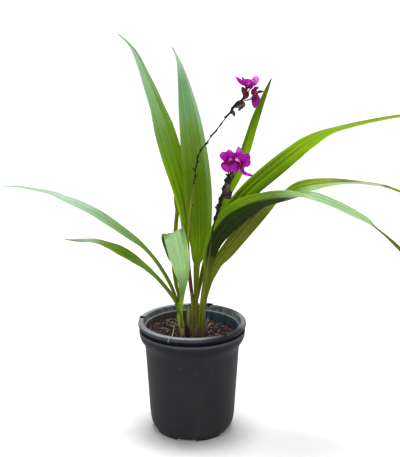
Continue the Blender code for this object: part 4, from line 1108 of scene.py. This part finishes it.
def stalk_shape(path, count, scars):
    """A slim stalk, a little thicker at each scar, and the points and ways of the bracts there."""
    rows = smooth_path(path, count)
    places = [min(count - 2, int(share * count)) for share in scars]
    spots, ways = [], []
    for number, place in enumerate(places):
        angle = number * SCAR_TURN_RADIANS
        up = Vector(rows[place + 1, :3] - rows[place, :3]).normalized()
        out = Vector((math.cos(angle), math.sin(angle), 0))
        rows[place:place + 2, 3] *= SCAR_SWELL
        rows[place:place + 2, :3] += np.array(out) * SCAR_KINK
        spots.append(Vector(rows[place, :3]) + out * float(rows[place, 3]) * 0.9)
        ways.append((out * 0.8 + up * 0.8).normalized())
    return stem([tuple(row) for row in rows], count * 2, 14, 3, 0.06, 0.12), spots, ways


# Dark brown withered flowers; the yellow-olive and pink bands in the middle of each are painted highlights
# over their dry tones
dried_flower_and_highlights = plant_skin("dried_flower_and_highlights", [
    (0.0, 20, 13, 14), (0.34, 36, 26, 18), (0.46, 108, 96, 42), (0.56, 88, 68, 66), (0.74, 58, 36, 44),
    (1.0, 24, 15, 20),
], 6.0, (122, 96, 98), 0.75)
maroon_bud = plant_skin("maroon_bud", [
    (0.0, 40, 14, 22), (0.4, 88, 4, 34), (0.8, 104, 6, 60), (1.0, 70, 12, 40),
], 4.0, (140, 24, 60), 0.5)
charred = plant_skin("dark_bract", [(0.0, 18, 14, 10), (1.0, 30, 22, 18)], 6.0, (14, 10, 8), 0.8)
bract_recipe = bracting()

# The tall stalk is green, maroon, green again and almost black, and the short one green and almost black
TALL_TONES = [
    (0.0, 116, 106, 48), (0.20, 112, 108, 40), (0.24, 70, 16, 20), (0.30, 76, 20, 24), (0.33, 126, 118, 34),
    (0.42, 140, 132, 30), (0.50, 134, 136, 20), (0.60, 108, 114, 16), (0.66, 44, 42, 16), (0.70, 18, 16, 12),
    (1.0, 18, 14, 14),
]
SHORT_TONES = [
    (0.0, 110, 100, 44), (0.30, 104, 112, 30), (0.50, 92, 100, 26), (0.58, 60, 64, 20), (0.66, 24, 20, 10),
    (1.0, 20, 13, 12),
]
STALKS = (
    ("stalk_tall", TALL_STALK, 110, TALL_SCARS, TALL_TONES, TALL_WITHERED, TALL_BUDS, [BUD_STALK]),
    ("stalk_short", SHORT_STALK, 80, SHORT_SCARS, SHORT_TONES, SHORT_WITHERED, [], []),
)
for name, path, count, scars, tones, withered, buds, side_stems in STALKS:
    finish = plant_skin(name + "_skin", tones, 4.0, (58, 46, 34), 0.62, 0.5)
    shape, spots, ways = stalk_shape(path, count, scars)
    thin = [stem(side_stem, 24, 10) for side_stem in side_stems]
    for extra in thin:
        extra.along[:] = [SIDE_STEM_TONE] * len(extra.along)
    settle(new_piece(name + "_stem", joined([shape] + thin), finish), "flower_stalk", name)
    mesh = bpy.data.meshes.new(name + "_bracts")
    mesh.from_pydata([tuple(spot) for spot in spots], [], [])
    keep_ways(mesh, ways)
    small_bracts = shown(name + "_bracts", mesh)
    follow_recipe(small_bracts, bract_recipe, Bract_Radius=BRACT_RADIUS, Bract_Length=BRACT_LENGTH,
                  Finish=charred)
    settle(small_bracts, "flower_stalk")
    dead = joined([stem(form, 30, 18, 6, 0.16, 0.5) for form in withered])
    settle(new_piece(name + "_withered", dead, dried_flower_and_highlights), "flower_stalk")
    if buds:
        closed = joined([stem(form, 26, 18, 3, 0.05) for form in buds])
        settle(new_piece(name + "_buds", closed, maroon_bud), "flower_stalk")


# Blooms
# Four magenta blooms, two on each stalk.  Each has five soft tepals round the end of its own slim stem, and
# in front a darker lip with two raised side lobes, a yellow callus and the column that arches over it.

LIP_SEAT = 0.0042
TEPAL_THICKNESS = 0.0005
TEPAL_CUP = 0.25
TEPAL_WAVE = 0.10
TEPAL_ROUNDING = 0.86
MIDLINE_DEPTH = 0.06
MIDLINE_WIDTH = 0.15
PETAL_SPREAD = 1.15
BLOOM_STEM_RADII = (0.0009, 0.0011, 0.0017, 0.0019, 0.0011)
CLAW_LENGTH = 0.0016
LIP_WIDTH = 0.0070
SIDE_LOBE_WIDTH = 0.0054
SIDE_LOBE = ((0.0, 0.0005, 0.0002), (0.002, 0.003, 0.001), (0.0045, 0.0045, 0.005))
# A pale pink painted highlight on two tepal tips: its tone, how far it reaches, and where it lies
PAINTED_HIGHLIGHT_PINK = (230, 150, 230)
HIGHLIGHT_REACH = (0.0025, 0.0075)
HIGHLIGHT_TIPS = ((0.0673, -0.0220, 0.4420), (0.0880, -0.0110, 0.5390))

Bloom = namedtuple("Bloom", "heart stem tepals lip column")

# A tepal is its bend, its tip, its width and how pointed it is.  A bloom's stem runs from the stalk to the
# bloom's heart.
BLOOMS = {
    "bloom_low_left": Bloom((0.0542, -0.0250, 0.4250),
                            [(0.0521, -0.0210, 0.3985), (0.053, -0.0225, 0.412)], [
        ((0.0462, -0.029, 0.4315), (0.0397, -0.027, 0.4325), 0.0120, 0.45),
        ((0.0535, -0.027, 0.4345), (0.0530, -0.022, 0.4405), 0.0110, 0.45),
        ((0.0490, -0.029, 0.4190), (0.0550, -0.0275, 0.4085), 0.0138, 0.55),
        ((0.0598, -0.022, 0.4300), (0.0648, -0.018, 0.4345), 0.0095, 0.55),
        ((0.0598, -0.024, 0.4205), (0.0655, -0.023, 0.4165), 0.0105, 0.50),
    ], (0.0525, -0.0375, 0.4215), (0.0560, -0.0350, 0.4285)),
    "bloom_low_right": Bloom((0.0692, -0.0270, 0.4235),
                             [(0.0534, -0.0187, 0.3950), (0.060, -0.0165, 0.408)], [
        ((0.0677, -0.024, 0.4345), (0.0673, -0.020, 0.4445), 0.0085, 0.55),
        ((0.0770, -0.030, 0.4285), (0.0842, -0.028, 0.4290), 0.0136, 0.40),
        ((0.0770, -0.031, 0.4220), (0.0837, -0.030, 0.4195), 0.0138, 0.40),
        ((0.0738, -0.028, 0.4085), (0.0888, -0.027, 0.4025), 0.0056, 0.60),
        ((0.0640, -0.029, 0.4165), (0.0628, -0.030, 0.4085), 0.0108, 0.55),
    ], (0.0690, -0.0385, 0.4180), (0.0640, -0.0350, 0.4300)),
    "bloom_high_left": Bloom((0.0799, -0.0150, 0.5302),
                             [(0.0752, -0.0090, 0.5157), (0.0772, -0.0078, 0.521)], [
        ((0.0705, -0.017, 0.5353), (0.0618, -0.017, 0.5440), 0.0055, 1.10),
        ((0.0788, -0.021, 0.5363), (0.0795, -0.020, 0.5410), 0.0125, 0.40),
        ((0.0852, -0.016, 0.5352), (0.0875, -0.011, 0.5390), 0.0085, 0.50),
        ((0.0745, -0.009, 0.5374), (0.0712, -0.004, 0.5425), 0.0040, 0.80),
        ((0.0835, -0.018, 0.5300), (0.0850, -0.020, 0.5270), 0.0070, 0.60),
    ], (0.0785, -0.0270, 0.5285), (0.0810, -0.0255, 0.5345)),
    "bloom_high_right": Bloom((0.0900, -0.0170, 0.5200),
                              [(0.0753, -0.0120, 0.5094), (0.0836, -0.0150, 0.5115)], [
        ((0.0905, -0.017, 0.5270), (0.0960, -0.014, 0.5279), 0.0050, 1.00),
        ((0.0955, -0.017, 0.5220), (0.1020, -0.017, 0.5227), 0.0040, 0.80),
        ((0.0897, -0.018, 0.5105), (0.0898, -0.018, 0.4989), 0.0085, 0.80),
        ((0.0940, -0.013, 0.5110), (0.0940, -0.012, 0.5020), 0.0065, 0.80),
        ((0.0870, -0.021, 0.5235), (0.0850, -0.023, 0.5185), 0.0065, 0.60),
    ], (0.0895, -0.0285, 0.5175), (0.0920, -0.0265, 0.5230)),
}
TOP_BUD = [
    (0.0870, -0.0040, 0.5292, 0.0010), (0.0885, -0.0030, 0.5320, 0.0036), (0.0910, -0.0030, 0.5375, 0.0052),
    (0.0921, -0.0030, 0.5419, 0.0036), (0.0924, -0.0030, 0.5440, 0.0010),
]


def petal_skin(name, inner, outer, vein, pale, roughness=0.42, highlight_spots=()):
    """Soft petal skin from foot to tip, with fine darker veins, pale patches, a little sparkle and painted
    highlights round given spots.
    """
    material, graph = new_finish(name, 0.15)
    along = graph.attribute("along")
    across = graph.attribute("across")
    place = graph.place()
    cloud = graph.noise(place, 260, 3, 0.6)
    wash = graph.noise(place, 95, 1)
    colour = graph.ramp(along + (cloud - 0.5) * 0.4, [(0.1, pigment(*inner)), (0.75, pigment(*outer))])
    colour = graph.tints(colour, (graph.step(wash, 0.52, 0.40) * 0.6, 0.5, 0.5, 0.5))
    colour = graph.coats(colour, (graph.step(wash, 0.54, 0.68) * 0.4, *pale))
    # Painted highlights, pale pink round each given spot
    for spot in highlight_spots:
        away = graph.step(graph.distance(place, spot), *HIGHLIGHT_REACH)
        colour = graph.coats(colour, ((1 - away) * 0.5, *PAINTED_HIGHLIGHT_PINK))
    colour = graph.tints(colour, (graph.step(abs(across), 0.55, 1.0) * 0.5, 1.4, 1.6, 1.4),
                         (graph.step(cloud, 0.5, 0.35) * 0.7, 0.5, 0.6, 0.5),
                         (graph.step(cloud, 0.56, 0.7) * 0.7, 1.6, 2.0, 1.5))
    waves = graph.wave(across * (16.0 + 6.0 * along) + cloud * 2.0)
    colour = graph.coats(colour, (graph.step(waves, 0.4, 1.0) * 0.45, *vein))
    relief = waves * 0.3 + graph.noise(place, 2600, 1) * 0.3
    return end_finish(material, graph, colour, roughness - 0.05 + 0.2 * cloud, relief, 0.0003)


def tepal(heart, bend, tip, width, pointed, facing, cup=TEPAL_CUP, rows=18, columns=12, seed=0.0):
    """One petal from the heart over its bend to its tip, cupped, with a soft midline and a wavy edge."""
    path = smooth_path([(*heart, 0), (*bend, 0), (*tip, 0)], rows)
    side = (Vector(tip) - Vector(heart)).cross(facing).normalized()
    skin = []
    for row, way, share in zip(path.tolist(), tangents(path[:, :3]), np.linspace(0, 1, rows).tolist()):
        half = width * PETAL_SPREAD / 2 * math.sin(math.pi * (0.08 + 0.86 * share)) ** pointed
        if share > TEPAL_ROUNDING:
            half *= math.sqrt(max(0.0, 1 - ((share - TEPAL_ROUNDING) / 0.145) ** 2)) * 0.85 + 0.15
        across = (side - way * side.dot(way)).normalized()
        face = way.cross(across)
        line = []
        for place in np.linspace(-1, 1, columns + 1).tolist():
            wave = TEPAL_WAVE * noise.noise(Vector((place * 1.5, share * 3.5, seed))) * abs(place)
            groove = -MIDLINE_DEPTH * math.exp(-(place / MIDLINE_WIDTH) ** 2)
            lift = cup * abs(place) ** 1.6 + wave + groove
            middle = Vector(row[:3]) + (across * place + face * lift) * half
            rim = TEPAL_THICKNESS / 2 * (1 - EDGE_THINNING * place ** 2)
            line.append((middle + face * rim, middle - face * rim))
        skin.append(line)
    return shell(skin)


def ahead(start, axes, forward, sideways, upward):
    """A point some metres ahead of, beside and above another, along a bloom's own axes."""
    facing, across, up = axes
    return start + facing * forward + across * sideways + up * upward


petal_magenta = petal_skin("petal_magenta", (124, 0, 118), (188, 0, 182), (124, 0, 118), (216, 60, 214),
                           highlight_spots=HIGHLIGHT_TIPS)
# A darker copy of the magenta petal skin, as painted shade
petal_painted_shade = petal_skin("petal_painted_shade", (90, 0, 84), (126, 0, 118), (76, 0, 74), (170, 40, 170))
lip_purple = petal_skin("lip_purple", (150, 0, 84), (104, 0, 74), (66, 0, 40), (190, 40, 120), 0.38)
column_pink = petal_skin("column_pink", (140, 10, 110), (190, 70, 150), (150, 20, 120), (210, 130, 180), 0.38)
callus_yellow = petal_skin("callus_yellow", (206, 80, 90), (216, 116, 80), (190, 50, 70), (226, 150, 120),
                           0.4)
bud_magenta = petal_skin("bud_magenta", (84, 0, 72), (208, 100, 206), (130, 20, 124), (228, 150, 228))
stem_purple = plant_skin("flower_stem", [(0.0, 70, 30, 44), (0.6, 110, 18, 92), (1.0, 150, 16, 150)],
                         4.0, (130, 30, 120), 0.5)
for name, bloom in BLOOMS.items():
    heart = Vector(bloom.heart)
    lip_end = Vector(bloom.lip)
    facing = (lip_end - heart).normalized()
    across = facing.cross(Vector((0, 0, 1))).normalized()
    axes = (facing, across, across.cross(facing))
    petals = [tepal(bloom.heart, *form, facing, seed=float(k)) for k, form in enumerate(bloom.tepals)]
    # The high right bloom wears the darker copy, painted shade
    finish = petal_painted_shade if name == "bloom_high_right" else petal_magenta
    settle(new_piece(name + "_tepals", joined(petals), finish), "petal", name)
    neck = heart.lerp(Vector(bloom.stem[1]), 0.3)
    spots = [*bloom.stem, neck, heart, heart + facing * LIP_SEAT]
    foot = [(*spot, radius) for spot, radius in zip(spots, BLOOM_STEM_RADII)]
    settle(new_piece(name + "_stem", stem(foot, 30, 14, 3, 0.08), stem_purple), "petal")

    root = heart + facing * (LIP_SEAT + 2 * GAP)
    joint = root + facing * CLAW_LENGTH
    bend = ahead(joint.lerp(lip_end, 0.6), axes, 0.0, 0.0, -0.001)
    flaps = [tepal(joint, bend, lip_end, LIP_WIDTH, 0.5, axes[2], 0.1, 14, 10)]
    ridges = []
    for hand in (-1, 1):
        lobe = [ahead(joint, axes, x, hand * y, z) for x, y, z in SIDE_LOBE]
        flaps.append(tepal(*lobe, SIDE_LOBE_WIDTH, 0.6, across * hand, 0.3, 14, 10))
        spot = ahead(joint, axes, 0.0016, hand * 0.0007, 0.0011)
        ridges.append(stem([(*spot, 0.0003), (*ahead(spot, axes, 0.0007, 0.0, 0.0003), 0.0009),
                            (*(spot + facing * 0.0016), 0.0003)], 10, 12))
    claw = stem([(*root, 0.0012), (*(joint + facing * 0.0008), 0.0013)], 4, 12)
    settle(new_piece(name + "_lip_flaps", joined(flaps + [claw]), lip_purple), "flower_lip", name + "_lip")
    settle(new_piece(name + "_callus", joined(ridges), callus_yellow), "flower_lip")
    arch = [(*(root + facing * 0.0008), 0.0012), (*ahead(root, axes, 0.0024, 0.0, 0.0030), 0.0014),
            (*bloom.column, 0.0017), (*ahead(Vector(bloom.column), axes, 0.0008, 0.0, -0.0012), 0.0011)]
    settle(new_piece(name + "_column", stem(arch, 22, 14, 2, 0.10), column_pink), "flower_lip")
settle(new_piece("bud_top_petals", stem(TOP_BUD, 30, 30, 3, 0.04), bud_magenta), "petal", "bud_top")


# Dry straw
# One thin dry stem of grass that leans from the left shoot over the front of the lip.  It lies loose, as do
# a few short strands and flakes on the soil.

DRY_STRAW = [
    (-0.0219, -0.0132, 0.1800, 0.0004), (-0.0245, -0.0350, 0.1830, 0.0004),
    (-0.0265, -0.0550, 0.1805, 0.0004), (-0.0285, -0.0710, 0.1752, 0.0004),
    (-0.0312, -0.0765, 0.1751, 0.0004), (-0.0330, -0.0800, 0.1738, 0.0004),
    (-0.0345, -0.0812, 0.1690, 0.0002),
]
pale_straw = plant_skin("pale_straw", [(0.0, 120, 102, 66), (0.4, 158, 150, 118), (1.0, 176, 176, 160)],
                        5.0, (112, 96, 66), 0.7)
settle(new_piece("dry_straw_stem", stem(DRY_STRAW, 60, 10, 4, 0.12), pale_straw), "dry_sheath", "dry_straw")

STRANDS = [
    [(-0.0422, 0.0333, 0.1535), (-0.0388, 0.0470, 0.1560), (-0.0327, 0.0563, 0.1560),
     (-0.0256, 0.0587, 0.1530)],
    [(0.0165, -0.0120, 0.1560), (0.0195, -0.0120, 0.1706), (0.0248, -0.0120, 0.1834)],
    [(-0.0020, -0.0200, 0.1510), (-0.0023, -0.0200, 0.1639), (-0.0011, -0.0200, 0.1735)],
]
STRAND_RADIUS = 0.0004
FLAKES = [(0.0212, 0.0092), (0.0299, 0.0270), (0.0406, 0.0180), (-0.0181, 0.0027)]
FLAKE_LENGTH = 0.0040
FLAKE_RADIUS = 0.0007
FLAKE_LIFT = 0.0010
FLAKE_TURN_RADIANS = 1.9
bits = [stem([(*point, STRAND_RADIUS) for point in strand], 30, 8, 3, 0.12) for strand in STRANDS]
for number, (x, y) in enumerate(FLAKES):
    angle = number * FLAKE_TURN_RADIANS
    reach = Vector((math.cos(angle), math.sin(angle), 0)) * FLAKE_LENGTH / 2
    spot = Vector((x, y, soil_height(x, y) + FLAKE_LIFT))
    bits.append(stem([(*(spot - reach), FLAKE_RADIUS), (*(spot + reach), FLAKE_RADIUS)], 6, 8))
settle(new_piece("soil_litter", joined(bits), pale_straw), "dry_sheath")


# Studio
# A wide plain white floor that rises gently all round, an even pale sky, a soft light overhead and a weak
# broad one from the front.  The camera stands where the photograph was taken from.

CAMERA_HEIGHT_ANGLE = 19.8
CAMERA_DISTANCE = 1.4
CAMERA_TILT = 14.06
CAMERA_X = 0.0119
FOCAL_LENGTH_PIXELS = 911.9
PHOTO_HEIGHT_PIXELS = 457
SENSOR_MILLIMETRES = 36.0
FLOOR_RISE = ((8.0, 0.0), (14.0, 0.3), (24.0, 1.8), (40.0, 7.0), (60.0, 18.0))
FLOOR_SIDES = 64
FLOOR_WHITE = (0.97, 0.97, 0.97, 1.0)
FLOOR_ROUGHNESS = 0.9
FLOOR_GLOSS = 0.5
SKY_WHITE = (0.98, 0.99, 1.0, 1.0)
SKY_STRENGTH = 0.25
# A light is its name, its strength, and in degrees the width of its disc and its lean from overhead
LIGHTS = (("overhead_light", 2.95, 26, -6.5), ("front_light", 0.7, 70, 52))

white = new_finish("studio_white", FLOOR_GLOSS)[0]
sockets = white.node_tree.nodes["Principled BSDF"].inputs
sockets["Base Color"].default_value = FLOOR_WHITE
sockets["Roughness"].default_value = FLOOR_ROUGHNESS
floor_mesh = bpy.data.meshes.new("studio_floor")
floor_points = [point for radius, height in FLOOR_RISE for point in round_ring(radius, height, FLOOR_SIDES)]
floor_faces = [tuple(range(FLOOR_SIDES))]
for start in range(0, FLOOR_SIDES * (len(FLOOR_RISE) - 1), FLOOR_SIDES):
    for side in range(FLOOR_SIDES):
        first = start + side
        second = start + (side + 1) % FLOOR_SIDES
        floor_faces.append((first, first + FLOOR_SIDES, second + FLOOR_SIDES, second))
floor_mesh.from_pydata(floor_points, [], floor_faces)
floor_mesh.materials.append(white)
shown("studio_floor", floor_mesh)

world = bpy.data.worlds.new("studio_sky")
bpy.context.scene.world = world
world.use_nodes = True
world.node_tree.nodes["Background"].inputs["Color"].default_value = SKY_WHITE
world.node_tree.nodes["Background"].inputs["Strength"].default_value = SKY_STRENGTH
for name, strength, width, lean in LIGHTS:
    sun = bpy.data.lights.new(name, "SUN")
    sun.energy = strength
    sun.angle = math.radians(width)
    shown(name, sun).rotation_euler = (math.radians(lean), 0.0, 0.0)

camera = bpy.data.cameras.new("camera")
camera.sensor_fit = "VERTICAL"
camera.sensor_height = SENSOR_MILLIMETRES
camera.lens = FOCAL_LENGTH_PIXELS * SENSOR_MILLIMETRES / PHOTO_HEIGHT_PIXELS
viewer = shown("camera", camera)
height_angle = math.radians(CAMERA_HEIGHT_ANGLE)
viewer.location = (CAMERA_X, -CAMERA_DISTANCE * math.cos(height_angle),
                   POT_HEIGHT + CAMERA_DISTANCE * math.sin(height_angle))
viewer.rotation_euler = (math.radians(90 - CAMERA_TILT), 0.0, 0.0)
bpy.context.scene.camera = viewer
bpy.context.scene.view_settings.view_transform = "Standard"
